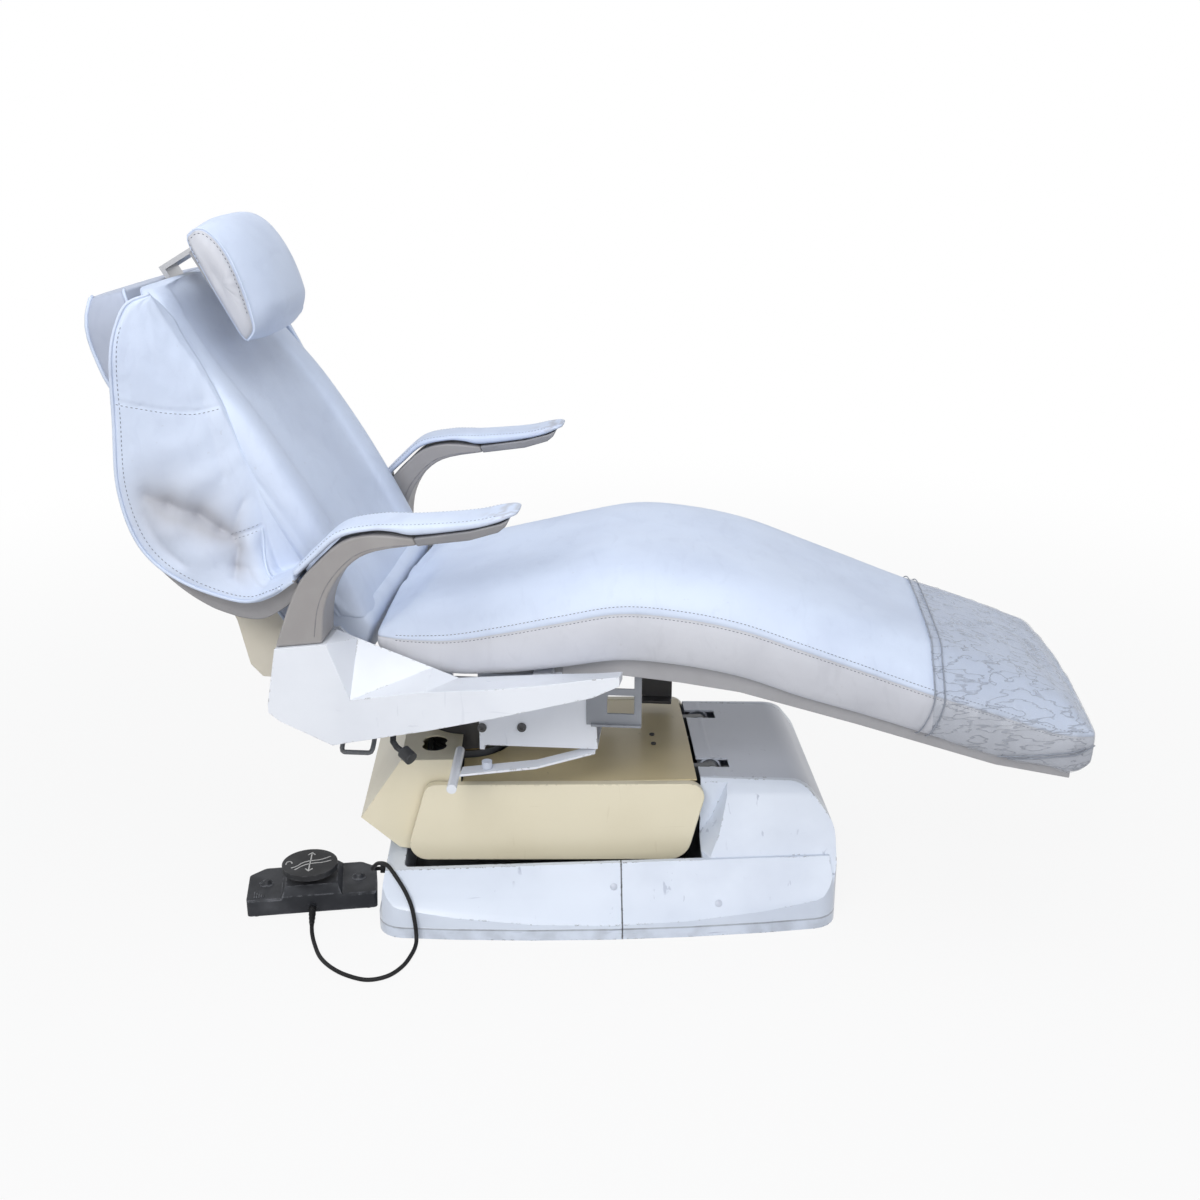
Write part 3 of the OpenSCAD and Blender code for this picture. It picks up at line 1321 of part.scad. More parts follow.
// The route's points from the near corner of the base's head end
cord_route = [[-119.4, 98.7, 14], [-118, 84, 8], [-116, 64, 3.7], [-111, 34, 3.7], [-102, 1, 3.7],
    [-88, -36, 3.7], [-67, -66, 3.7], [-39, -90, 3.7], [-4, -105, 3.7], [28, -96, 3.7],
    [50, -69, 3.7], [62, -34, 3.7], [66.5, -7, 4.5], [66.5, 6.5, 14], [64.5, 9.8, 38],
    [59, 17.7, 64], [49, 26.5, 86], [33, 37.5, 109.5], [18, 53, 121], [2, 75, 112],
    [-8, 95, 96], [-13.5, 114, 82], [-16, 129, 71], [-13, 139, 65.5], [-4.3, 142, 64]];
cord_points = [for (p = cord_route) p - [base_len / 2, base_w / 2, 0]];

module cord_bore() translate([grommet_from, grommet_y, grommet_z]) rotate([0, 90, 0])
    cylinder(d = grommet_d + 2 * fit, h = 2 * grommet_len, $fn = round_fn);

module cord_grommet()
    color("black") translate([grommet_from, grommet_y, grommet_z]) rotate([0, 90, 0])
        cylinder(d = grommet_d, h = grommet_len, $fn = round_fn);

module control_cord()
    color("black") tube(curve(cord_points, cord_steps), cord_d, cord_sides, [0, 0, 1]);

base_plate();
head_base_cover();
foot_base_cover();
pivot_lid();
pivot_brackets();
lift_shaft();
base_pins();
cover_caps();
power_unit();
ram_cylinder();
ram_rod();
mains_inlet();
lift_beams();
ram_pin();
lift_top_cover();
top_cover_screws();
near_side_panel();
far_side_panel();
level_link();
carrier_casting();
rear_cover();
head_pins();
swivel_post();
thrust_ring();
swivel_drum();
seat_frame();
frame_screws();
window_guard();
far_bracket();
near_side_cover();
far_side_cover();
rear_hook();
grip_bracket();
grip_rod();
grip_knob();
brake_lever();
seat_pan();
seat_cushion();
toe_cover();
near_arm_frame();
far_arm_frame();
arm_trays();
near_arm_pad();
far_arm_pad();
recline_pins();
back_frame();
back_cushion();
back_rear_pad();
back_shell();
near_wing();
far_wing();
headrest_bar();
headrest_pan();
headrest_cushion();
pedal_case();
pedal_feet();
pedal_disc();
disc_stem();
cord_grommet();
control_cord();
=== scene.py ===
"""Examination chair: its cushions, covers, foot control and their finishes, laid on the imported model."""
import json
import math

import bmesh
import bpy
import numpy as np
from mathutils import Matrix, Vector, noise
from mathutils.bvhtree import BVHTree


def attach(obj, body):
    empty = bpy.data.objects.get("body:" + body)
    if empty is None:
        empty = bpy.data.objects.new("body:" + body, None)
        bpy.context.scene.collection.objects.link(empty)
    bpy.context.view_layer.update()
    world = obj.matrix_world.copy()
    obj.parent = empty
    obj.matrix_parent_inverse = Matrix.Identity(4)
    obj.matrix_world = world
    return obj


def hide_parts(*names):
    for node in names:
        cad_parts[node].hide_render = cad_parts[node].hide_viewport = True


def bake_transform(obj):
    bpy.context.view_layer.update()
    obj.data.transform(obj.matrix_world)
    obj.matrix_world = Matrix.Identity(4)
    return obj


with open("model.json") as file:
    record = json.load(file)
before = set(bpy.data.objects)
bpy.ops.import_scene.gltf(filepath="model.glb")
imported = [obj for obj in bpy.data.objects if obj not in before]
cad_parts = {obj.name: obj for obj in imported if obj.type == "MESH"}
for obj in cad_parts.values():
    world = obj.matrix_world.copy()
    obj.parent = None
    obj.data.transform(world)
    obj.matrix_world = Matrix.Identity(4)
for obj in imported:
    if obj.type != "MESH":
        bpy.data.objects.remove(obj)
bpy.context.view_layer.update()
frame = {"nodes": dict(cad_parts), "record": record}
nodes = frame["nodes"]
MM = 0.001


# Places of the chair's parts, in millimetres, as the part's source has them
def turned(angle, axis):
    return Matrix.Rotation(math.radians(angle), 4, axis)


FLOOR = Matrix.Identity(4)
UPPER = Matrix.Translation((-240, 0, 322)) @ turned(-7.25, "Z")
BACK = UPPER @ Matrix.Translation((-210, 0, 198)) @ turned(-30, "Y")
PEDAL = Matrix.Translation((-510, -180, 0)) @ turned(6.1, "Z")
NEAR, FAR = -1, 1

SEAT_REAR, SEAT_LEN, SEAT_W, SEAT_CROWN, SEAT_SIDE = -112, 1145, 524, 62, 80
SEAT_LINE = [[0.014, 0.184, 0.20, 0.32], [0.045, 0.183, 0.53, 0.55], [0.116, 0.183, 0.72, 0.87],
             [0.185, 0.195, 0.86, 0.98], [0.268, 0.213, 0.96, 1.03], [0.350, 0.229, 1.00, 1.03],
             [0.432, 0.225, 1.01, 1.02], [0.514, 0.210, 1.00, 1.00], [0.595, 0.183, 1.00, 0.97],
             [0.677, 0.155, 0.93, 0.94], [0.773, 0.122, 0.88, 0.90], [0.868, 0.093, 0.88, 0.87],
             [0.945, 0.069, 0.75, 0.77], [0.983, 0.063, 0.76, 0.58], [0.998, 0.061, 0.59, 0.23]]
BACK_LEN, BACK_W, BACK_T, BACK_REAR = 620, 480, 64, 55.3
BACK_LINE = [[-0.042, 0.78, 0.983, 0.67], [0.032, 0.88, 1, 0.35], [0.115, 0.95, 1, 0.1], [0.252, 1, 1, 0],
             [0.394, 0.98, 1, 0], [0.55, 0.9, 0.99, 0], [0.718, 0.66, 0.95, 0], [0.839, 0.56, 0.885, 0.1],
             [0.911, 0.51, 0.8, 0.25], [0.935, 0.4, 0.745, 0.4]]
BOLSTER = [[0.967, 0], [1, 0.25], [1, 0.6], [0.955, 0.9], [0.86, 1], [0.74, 0.97], [0.67, 0.9],
           [0.6, 0.82], [0.3, 0.8]]
CORD_START = [-390, -284, 0]
CORD_ROUTE = [[-119.4, 98.7, 14], [-118, 84, 8], [-116, 64, 3.7], [-111, 34, 3.7], [-102, 1, 3.7],
              [-88, -36, 3.7], [-67, -66, 3.7], [-39, -90, 3.7], [-4, -105, 3.7], [28, -96, 3.7],
              [50, -69, 3.7], [62, -34, 3.7], [66.5, -7, 4.5], [66.5, 6.5, 14], [64.5, 9.8, 38],
              [59, 17.7, 64], [49, 26.5, 86], [33, 37.5, 109.5], [18, 53, 121], [2, 75, 112], [-8, 95, 96],
              [-13.5, 114, 82], [-16, 129, 71], [-13, 139, 65.5], [-4.3, 142, 64]]
CORD_D = 7


# Lines and sections
def smooth_at(table, column, x):
    """Value of a column at x, on a smooth line through a table whose first column is x."""
    rows = np.array(table, float)
    xs, ys = rows[:, 0], rows[:, column]
    slope = np.gradient(ys, xs)
    i = np.clip(np.searchsorted(xs, x) - 1, 0, len(xs) - 2)
    h = xs[i + 1] - xs[i]
    t = np.clip((x - xs[i]) / h, 0, 1)
    return (ys[i] * (1 + 2 * t) * (1 - t) ** 2 + h * slope[i] * t * (1 - t) ** 2
            + ys[i + 1] * t * t * (3 - 2 * t) - h * slope[i + 1] * t * t * (1 - t))


def curve_through(points, count):
    """Evenly spread points on a smooth curve through the given ones."""
    p = np.array(points, float)
    p = np.vstack([2 * p[0] - p[1], p, 2 * p[-1] - p[-2]])
    t = np.linspace(0, 1, 24, endpoint=False)[:, None]
    parts = []
    for a, b, c, d in zip(p, p[1:], p[2:], p[3:]):
        parts.append(0.5 * (2 * b + (c - a) * t + (2 * a - 5 * b + 4 * c - d) * t ** 2
                            + (3 * b - a - 3 * c + d) * t ** 3))
    dense = np.vstack(parts + [p[-2]])
    return spread(dense, count)


def spread(line, count):
    """The same line with its points at even distances."""
    line = np.array(line, float)
    run = np.r_[0, np.cumsum(np.linalg.norm(np.diff(line, axis=0), axis=1))]
    at = np.linspace(0, run[-1], count)
    return np.stack([np.interp(at, run, line[:, k]) for k in range(line.shape[1])], axis=1)


def bump(x, centre, width):
    return np.exp(-((x - centre) / width) ** 2)


def line_distance(u, v, u0, v0, u1, v1):
    du, dv = u1 - u0, v1 - v0
    t = np.clip(((u - u0) * du + (v - v0) * dv) / (du * du + dv * dv), 0, 1)
    return math.hypot(u - u0 - t * du, v - v0 - t * dv)


def bell(u, v, u0, v0, u1, v1, width):
    """Soft ridge of a given width along the line from (u0, v0) to (u1, v1)."""
    return math.exp(-(line_distance(u, v, u0, v0, u1, v1) / width) ** 2)


def crease(u, v, u0, v0, u1, v1, width):
    """Sharp fold along the same kind of line."""
    return math.exp(-line_distance(u, v, u0, v0, u1, v1) / width)


# Meshes
SWELL_FRAMES = 20


def in_row(points, place):
    return [(place @ Vector(p)) * MM for p in points]


def new_piece(name, vertices, faces, body, finish):
    mesh = bpy.data.meshes.new(name)
    mesh.from_pydata([tuple(v) for v in vertices], [], faces)
    mesh.validate()
    b = bmesh.new()
    b.from_mesh(mesh)
    bmesh.ops.recalc_face_normals(b, faces=b.faces)
    b.to_mesh(mesh)
    b.free()
    mesh.polygons.foreach_set("use_smooth", [True] * len(mesh.polygons))
    piece = bpy.data.objects.new(name, mesh)
    bpy.context.scene.collection.objects.link(piece)
    piece.data.materials.append(finish)
    if body:
        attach(piece, body)
    return piece


def grid_faces(rows, columns, loop):
    last = columns if loop else columns - 1
    return [(i * columns + j, i * columns + (j + 1) % columns, (i + 1) * columns + (j + 1) % columns,
             (i + 1) * columns + j) for i in range(rows - 1) for j in range(last)]


def skin(name, rings, place, body, finish, loop=True):
    """Piece from rows of points. Where loop is true, the rows are rings and the two ends are closed."""
    rings = np.array(rings, float)
    n, m = rings.shape[:2]
    faces = grid_faces(n, m, loop)
    if loop:
        faces += [tuple(range(m - 1, -1, -1)), tuple((n - 1) * m + j for j in range(m))]
    return new_piece(name, in_row(rings.reshape(-1, 3), place), faces, body, finish)


def mark(piece, name, values):
    """Keeps a value for each vertex, which a finish can read."""
    layer = piece.data.attributes.new(name, "FLOAT", "POINT")
    layer.data.foreach_set("value", np.asarray(values, np.float32).ravel())


def apply_all(piece):
    """Makes the piece's modifiers part of its mesh."""
    graph = bpy.context.evaluated_depsgraph_get()
    mesh = bpy.data.meshes.new_from_object(piece.evaluated_get(graph))
    piece.modifiers.clear()
    piece.data = mesh
    return piece


def subdivided(piece, levels=1):
    piece.modifiers.new("finer", "SUBSURF").levels = levels
    piece.modifiers["finer"].render_levels = levels
    return apply_all(piece)


def positions(mesh):
    at = np.empty(len(mesh.vertices) * 3)
    mesh.vertices.foreach_get("co", at)
    return at.reshape(-1, 3)


def stuffed(piece, pressure, most, held):
    """Lets the fabric swell under pressure, no vertex moving further than most millimetres."""
    start = positions(piece.data)
    cloth = piece.modifiers.new("fabric", "CLOTH")
    cloth.settings.quality = 6
    cloth.settings.use_pressure = True
    cloth.settings.uniform_pressure_force = pressure
    cloth.settings.effector_weights.gravity = 0
    cloth.settings.tension_stiffness = 25
    cloth.settings.compression_stiffness = 25
    cloth.settings.bending_stiffness = 4
    cloth.collision_settings.use_collision = False
    group = piece.vertex_groups.new(name="held")
    group.add([int(i) for i in np.nonzero(held)[0]], 1, "REPLACE")
    cloth.settings.vertex_group_mass = group.name
    for frame_number in range(1, SWELL_FRAMES + 1):
        bpy.context.scene.frame_set(frame_number)
    graph = bpy.context.evaluated_depsgraph_get()
    swollen = positions(piece.evaluated_get(graph).data)
    piece.modifiers.clear()
    bpy.context.scene.frame_set(1)
    move = swollen - start
    far = np.linalg.norm(move, axis=1, keepdims=True)
    move *= np.minimum(1, most * MM / np.maximum(far, 1e-9))
    piece.data.vertices.foreach_set("co", (start + move).ravel())
    piece.data.update()


def softened(node, width, finish, segments, sharp):
    """Copy of a rigid solid with its edges rounded, which stands for it."""
    source = nodes[node]
    b = bmesh.new()
    b.from_mesh(source.data)
    bmesh.ops.remove_doubles(b, verts=b.verts, dist=2e-5)
    bmesh.ops.dissolve_limit(b, angle_limit=math.radians(1), verts=b.verts, edges=b.edges)
    bmesh.ops.recalc_face_normals(b, faces=b.faces)
    mesh = bpy.data.meshes.new("dressed_" + node)
    b.to_mesh(mesh)
    b.free()
    piece = bpy.data.objects.new(mesh.name, mesh)
    bpy.context.scene.collection.objects.link(piece)
    mesh.materials.append(finish)
    edge = piece.modifiers.new("rounding", "BEVEL")
    edge.width = width * MM
    edge.segments = segments
    edge.limit_method = "ANGLE"
    edge.angle_limit = math.radians(28)
    apply_all(piece)
    piece.data.polygons.foreach_set("use_smooth", [True] * len(piece.data.polygons))
    piece.data.set_sharp_from_angle(angle=math.radians(sharp))
    even = piece.modifiers.new("even_normals", "WEIGHTED_NORMAL")
    even.keep_sharp = True
    apply_all(piece)
    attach(piece, body_of_node[node])
    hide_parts(node)
    return piece


body_of_node = {n: b for b, members in frame["record"]["behaviour"]["bodies"].items() for n in members}


def tube_rings(line, radius, sides=12):
    """Rings of a tube along a line; radius is one number or one for each point."""
    line = np.array(line, float)
    radius = np.broadcast_to(radius, len(line))
    run = np.gradient(line, axis=0)
    run /= np.linalg.norm(run, axis=1, keepdims=True)
    side = np.cross(run[0], [0, 0, 1])
    if np.linalg.norm(side) < 0.1:
        side = np.cross(run[0], [0, 1, 0])
    rings = []
    for p, t, r in zip(line, run, radius):
        side = side - t * (side @ t)
        side /= np.linalg.norm(side)
        up = np.cross(t, side)
        a = np.linspace(0, 2 * np.pi, sides, endpoint=False)
        rings.append(p + r * (np.cos(a)[:, None] * side + np.sin(a)[:, None] * up))
    return rings


def piping(name, line, radius, place, body, finish, sides=8):
    return skin(name, tube_rings(line, radius, sides), place, body, finish)


def stitches(name, line, place, body, finish, length=4.5, pitch=7, thick=0.55):
    """Row of short threads along a line, each with tapered ends."""
    line = np.array(line, float)
    run = np.r_[0, np.cumsum(np.linalg.norm(np.diff(line, axis=0), axis=1))]
    vertices, faces = [], []
    for start in np.arange(pitch / 2, run[-1] - pitch / 2, pitch):
        ds = start + np.array([-0.5, -0.3, 0.3, 0.5]) * length
        ps = np.stack([np.interp(ds, run, line[:, k]) for k in range(3)], axis=1)
        for ring in tube_rings(ps, np.array([0.3, 1, 1, 0.3]) * thick, 5):
            vertices.extend(ring)
        first = len(vertices) - 20
        faces += [tuple(first + k for k in f) for f in grid_faces(4, 5, True)]
        faces += [tuple(first + k for k in range(4, -1, -1)), tuple(first + 15 + k for k in range(5))]
    return new_piece(name, in_row(vertices, place), faces, body, finish)


# Finishes
class Value:
    """A shader socket. Sums and products on it add the Math nodes they need."""

    def __init__(self, finish, socket):
        self.finish, self.socket = finish, socket

    def __add__(self, other):
        return self.finish.math("ADD", self, other)

    def __sub__(self, other):
        return self.finish.math("SUBTRACT", self, other)

    def __rsub__(self, other):
        return self.finish.math("SUBTRACT", other, self)

    def __mul__(self, other):
        return self.finish.math("MULTIPLY", self, other)

    __radd__ = __add__
    __rmul__ = __mul__

    def between(self, low, high):
        """0 below low, 1 above high and smooth in between."""
        return self.finish.add("ShaderNodeMapRange", {"interpolation_type": "SMOOTHSTEP"},
                               {"Value": self, "From Min": low, "From Max": high})


class Finish:
    """One material: its Principled shader and the nodes that feed it."""

    def __init__(self, name, colour, roughness, **fixed):
        self.material = bpy.data.materials.new(name)
        self.material.use_nodes = True
        self.tree = self.material.node_tree
        self.shader = self.tree.nodes["Principled BSDF"]
        self.set("Base Color", colour)
        self.set("Roughness", roughness)
        for key, value in fixed.items():
            self.set(key.replace("_", " "), value)
        self.place = self.add("ShaderNodeTexCoord", {}, {}, "Object")

    def put(self, socket, value):
        if isinstance(value, Value):
            self.tree.links.new(value.socket, socket)
        elif isinstance(value, (tuple, list)) and len(value) == 3 and socket.type == "RGBA":
            socket.default_value = (*value, 1)
        else:
            socket.default_value = value

    def set(self, socket, value):
        self.put(self.shader.inputs[socket], value)

    def add(self, kind, settings, inputs, output=0):
        node = self.tree.nodes.new(kind)
        for key, value in settings.items():
            setattr(node, key, value)
        for key, value in inputs.items():
            self.put(node.inputs[key], value)
        return Value(self, node.outputs[output])

    def math(self, operation, a, b):
        return self.add("ShaderNodeMath", {"operation": operation}, {0: a, 1: b})

    def mix(self, factor, a, b):
        return self.add("ShaderNodeMix", {"data_type": "RGBA"}, {0: factor, 6: a, 7: b}, 2)

    def noise(self, size, detail=3, stretch=(1, 1, 1), roughness=0.5, warp=0):
        """Cloudy values from 0 to 1, whose lumps are size millimetres across."""
        place = self.add("ShaderNodeVectorMath", {"operation": "MULTIPLY"}, {0: self.place, 1: stretch})
        return self.add("ShaderNodeTexNoise", {}, {"Vector": place, "Scale": 1000 / size, "Detail": detail,
                                                   "Roughness": roughness, "Distortion": warp})

    def cells(self, size):
        """Distance from the edges of cells about size millimetres across."""
        return self.add("ShaderNodeTexVoronoi", {"feature": "DISTANCE_TO_EDGE"},
                        {"Vector": self.place, "Scale": 1000 / size}, "Distance")

    def kept(self, name):
        """Value that mark() stored on the mesh."""
        return self.add("ShaderNodeAttribute", {"attribute_name": name}, {}, "Fac")

    def along(self, axis):
        """Place along an axis, in metres of the row."""
        return self.add("ShaderNodeSeparateXYZ", {}, {"Vector": self.place}, axis)

    def edges(self, radius):
        """1 on the edges of a solid, 0 on its faces."""
        soft = self.add("ShaderNodeBevel", {"samples": 4}, {"Radius": radius * MM})
        plain = self.add("ShaderNodeNewGeometry", {}, {}, "Normal")
        same = self.add("ShaderNodeVectorMath", {"operation": "DOT_PRODUCT"}, {0: soft, 1: plain}, "Value")
        return (1 - same).between(0.004, 0.06)

    def relief(self, height, depth, strength=1.0):
        """Adds a bump of depth millimetres at height 1."""
        normal = self.add("ShaderNodeBump", {}, {"Height": height, "Distance": depth * MM,
                                                 "Strength": strength})
        if self.shader.inputs["Normal"].is_linked:
            below = self.shader.inputs["Normal"].links[0].from_socket
            self.tree.links.new(below, normal.socket.node.inputs["Normal"])
        self.set("Normal", normal)


def tint(r, g, b):
    """Linear colour from the 0 to 255 values of a screen colour."""
    return tuple(((c / 255 + 0.055) / 1.055) ** 2.4 if c > 10 else c / 3295 for c in (r, g, b))


def vinyl(name, colour, worn, soil_and_shade_tint):
    """Soft upholstery vinyl with a fine grain, clouded by use; the soil mark tints it browner with dirt and,
    along the wings' folds, with painted shade.
    """
    f = Finish(name, colour, 0.4, Specular_IOR_Level=0.42)
    clouds = f.noise(160, 4)
    grain = f.cells(1.1)
    streaks = f.noise(26, 4, (1, 0.35, 0.5), warp=1.0).between(0.5, 0.72)
    base = f.mix(clouds.between(0.35, 0.72) * 0.6 + 0.22 * streaks, colour, worn)
    specks = f.noise(9, 2).between(0.7, 0.8) * 0.12
    base = f.mix(specks, base, soil_and_shade_tint)
    # The marked soil browns the vinyl: dirt, and on the wings painted shade in the folds.
    base = f.mix(f.kept("soil_and_shade") * (0.55 + 0.5 * clouds), base, soil_and_shade_tint)
    f.set("Base Color", base)
    f.set("Roughness", 0.36 + 0.16 * f.noise(60, 3) + 0.05 * f.noise(1.5, 1))
    f.relief(grain.between(0, 0.25), 0.09)
    f.relief(f.noise(7, 4), 0.35, 0.6)
    f.relief(f.noise(45, 3), 1.8, 0.6)
    return f.material


def enamel(name, colour, grime, bare_and_shade, shine, chips=0.5, scuffs=0.5, lip=None, split=None):
    """Sprayed paint with a faint peel, scuffs, chipped edges and, where given, a lip line at a height, with
    painted shade just under the lip and grime with painted shade in the band below it.
    """
    f = Finish(name, colour, shine, Coat_Weight=0.25, Coat_Roughness=0.15)
    clouds = f.noise(220, 5)
    base = f.mix(clouds.between(0.4, 0.8) * 0.5, colour, grime)
    across = f.noise(14, 4, (1, 1, 0.12), warp=0.6).between(0.66, 0.7)
    along = f.noise(11, 4, (0.1, 1, 1.2), warp=0.8).between(0.68, 0.71)
    marks = (across + along) * f.noise(130, 2).between(0.45, 0.6) * scuffs
    base = f.mix(marks, base, grime)
    chipped = f.edges(3.5) * f.noise(7, 3).between(0.5, 0.62) * f.noise(70, 2).between(0.42, 0.6) * chips
    base = f.mix(chipped, base, bare_and_shade)
    if lip:
        height = f.along(2)
        # Under the lip the bare colour paints shade: a darker line just below it, and a mottled darker band
        # lower down that is grime and painted shade.
        below = 1 - height.between(lip - 0.001, lip + 0.001)
        line = below * height.between(lip - 0.0045, lip - 0.0015)
        base = f.mix(0.5 * line + below * 0.25 * f.noise(40, 4).between(0.35, 0.7), base, bare_and_shade)
        f.relief(below, 1.2)
    if split:
        near_split = 1 - f.math("ABSOLUTE", f.along(0) - split, 0).between(0.0006, 0.0016)
        base = f.mix(0.85 * near_split, base, (0.02, 0.02, 0.022))
        f.relief(1 - near_split, 1.0)
    f.set("Base Color", base)
    f.set("Roughness", shine + 0.1 * clouds + 0.3 * marks + 0.25 * chipped)
    f.relief(f.noise(2.2, 2), 0.02)
    f.relief(1 - chipped, 0.15)
    return f.material


def moulded(name, colour, worn, shine, grain=0.8, rubbed=0.5, gloss=0.5):
    """Moulded plastic with a fine texture, paler where it is rubbed."""
    f = Finish(name, colour, shine, Specular_IOR_Level=gloss)
    rub = f.edges(4) * f.noise(12, 3).between(0.42, 0.62) * rubbed
    base = f.mix(f.noise(90, 4).between(0.4, 0.75) * 0.4 + rub, colour, worn)
    f.set("Base Color", base)
    f.set("Roughness", shine + 0.12 * f.noise(25, 3))
    f.relief(f.noise(grain, 2), 0.06)
    return f.material


def metal(name, colour, shine):
    """Bare metal with fine machining lines."""
    f = Finish(name, colour, shine, Metallic=1.0)
    lines = f.noise(1.2, 3, (1, 0.08, 1))
    f.set("Base Color", f.mix(f.noise(30, 3) * 0.35, colour, tuple(c * 0.6 for c in colour)))
    f.set("Roughness", shine + 0.15 * lines)
    f.relief(lines, 0.02)
    return f.material


# The last colour of each vinyl is its soil tint, which gives dirt and also paints shade in the wings' folds.
WHITE_VINYL = vinyl("white_vinyl", tint(208, 219, 239), tint(190, 201, 223), tint(140, 130, 122))
# Darker copy of the white vinyl for the rear pad: painted shade.
SHADED_REAR_VINYL = vinyl("shaded_rear_vinyl", tint(176, 184, 202), tint(162, 170, 190), tint(140, 130, 122))
# Greyer, warmer copy of the white vinyl for the cushion sides and the headrest ends: painted shade on faces
# turned from the light.
SHADED_SIDE_VINYL = vinyl("shaded_side_vinyl", tint(204, 206, 214), tint(184, 186, 195), tint(146, 138, 132))
GREY_VINYL = vinyl("grey_vinyl", tint(158, 157, 160), tint(140, 139, 142), tint(112, 106, 102))
WHITE_PAINT = enamel("white_paint", tint(232, 236, 244), tint(206, 211, 222), tint(120, 118, 116),
                     0.24, 0.8, 0.5)
# The base's lip line paints shade under its lip.
BASE_PAINT = enamel("base_paint", tint(222, 231, 246), tint(184, 193, 212), tint(96, 98, 104), 0.26, 1.0, 0.9,
                    lip=0.021, split=0.021)
BEIGE_PAINT = enamel("beige_paint", tint(238, 230, 205), tint(222, 212, 184), tint(150, 140, 112),
                     0.4, 0.6, 0.3)
OLIVE_PAINT = enamel("olive_paint", tint(218, 203, 163), tint(184, 173, 138), tint(92, 88, 74),
                     0.42, 0.6, 0.6)
LID_PAINT = enamel("lid_paint", tint(204, 211, 226), tint(170, 177, 195), tint(80, 84, 92), 0.3, 0.5, 0.7)
ARM_SHELL = moulded("arm_shell", tint(150, 147, 147), tint(176, 174, 174), 0.42)
TRAY_PLASTIC = moulded("tray_plastic", tint(128, 128, 132), tint(160, 160, 162), 0.5)
BLACK_PLASTIC = moulded("black_plastic", tint(34, 35, 38), tint(92, 93, 96), 0.42, gloss=0.22)
CHARCOAL = moulded("charcoal_case", tint(36, 38, 43), tint(116, 118, 124), 0.46, 0.8, 0.9, 0.25)
RUBBER = moulded("black_rubber", tint(20, 20, 22), tint(54, 54, 56), 0.55, 0.5, 0.2, 0.25)
CREAM_PLASTIC = moulded("cream_plastic", tint(222, 216, 202), tint(200, 192, 174), 0.45)
# Seat and headrest pans, a darker grey than the side vinyl round them: painted shade under the cushions.
SHADED_PAN_BOARD = moulded("pan_board", tint(168, 168, 172), tint(146, 145, 148), 0.6, 2.0)
FRAME_STEEL = enamel("frame_steel", tint(96, 99, 104), tint(70, 72, 76), tint(140, 138, 134), 0.45, 0.7, 0.4)
DARK_METAL = enamel("dark_metal", tint(58, 58, 61), tint(42, 42, 44), tint(140, 136, 130), 0.42, 0.7, 0.4)
RAM_PAINT = enamel("ram_paint", tint(40, 42, 46), tint(30, 31, 34), tint(130, 128, 124), 0.3, 0.6, 0.4)
GUARD_PAINT = enamel("guard_paint", tint(146, 150, 158), tint(100, 102, 108), tint(60, 60, 62), 0.4, 0.6, 0.5)
BRIGHT_STEEL = metal("bright_steel", tint(196, 197, 200), 0.28)
BRASS = metal("brass_ring", tint(190, 160, 92), 0.35)
DARK_THREAD = moulded("dark_thread", tint(92, 96, 108), tint(120, 124, 132), 0.7, 0.5)
SHADOW_THREAD = moulded("shadow_thread", tint(140, 146, 160), tint(120, 124, 132), 0.7, 0.5)
WHITE_INK = moulded("white_ink", tint(212, 212, 212), tint(180, 180, 180), 0.5, 0.5)

SLOT_FINISH = {"white_paint": WHITE_PAINT, "beige_paint": BEIGE_PAINT, "olive_paint": OLIVE_PAINT,
               "grey_paint": LID_PAINT, "cream_plastic": CREAM_PLASTIC, "frame_steel": FRAME_STEEL,
               "bright_steel": BRIGHT_STEEL, "ram_paint": RAM_PAINT, "dark_metal": DARK_METAL,
               "brass_ring": BRASS, "white_vinyl": WHITE_VINYL, "grey_vinyl": GREY_VINYL,
               "pan_board": SHADED_PAN_BOARD, "clear_vinyl": WHITE_VINYL, "arm_shell": ARM_SHELL,
               "tray_plastic": TRAY_PLASTIC, "black_plastic": BLACK_PLASTIC, "charcoal_case": CHARCOAL,
               "black_rubber": RUBBER}
slot_of_node = {part["node"]: part["material_slot"] for part in frame["record"]["subparts"]}
for name, solid in nodes.items():
    solid.data.materials.clear()
    solid.data.materials.append(SLOT_FINISH[slot_of_node[name]])


# Camera, and the cord that it sees from end to end
camera = bpy.data.objects.new("camera", bpy.data.cameras.new("camera"))
bpy.context.scene.collection.objects.link(camera)
camera.location = (-0.1029, -2.3612, 1.3266)
camera.rotation_euler = (math.radians(70.836), 0, math.radians(-2.378))
camera.data.lens = 42.9
camera.data.sensor_width = 36
camera.data.clip_end = 60
bpy.context.scene.camera = camera

cord_line = curve_through(np.array(CORD_ROUTE) + CORD_START, 150)
cord = skin("foot_cord", tube_rings(cord_line, CORD_D / 2, 14), FLOOR, "base", RUBBER)
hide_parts("control_cord")


# Soft pieces
def near_far(side):
    return "near" if side == NEAR else "far"


def on_surface(piece, points, lift):
    """Points in millimetres of the row, laid on the piece and lifted off it by one distance or by many."""
    mesh = piece.data
    tree = BVHTree.FromPolygons([v.co for v in mesh.vertices], [f.vertices for f in mesh.polygons])
    laid = []
    for p, off in zip(points, np.broadcast_to(lift, len(points))):
        hit, normal, _, _ = tree.find_nearest(Vector(p) * MM)
        laid.append(tuple((hit + normal * float(off) * MM) / MM))
    return laid


def row_points(points, place):
    return [tuple(place @ Vector(p)) for p in points]


# Seat and leg cushion: crowned top and boxed sides, with a double row of stitches where they meet
THREAD_LIFT = 0.2
SEAT_SIDES = [(-10, 0), (-5, 0.03), (-1, 0.12), (1.5, 0.35), (2, 0.6), (0.5, 0.85), (-1.2, 0.95)]
CROWN = np.sin(np.pi / 2 * np.linspace(-1, 1, 31))


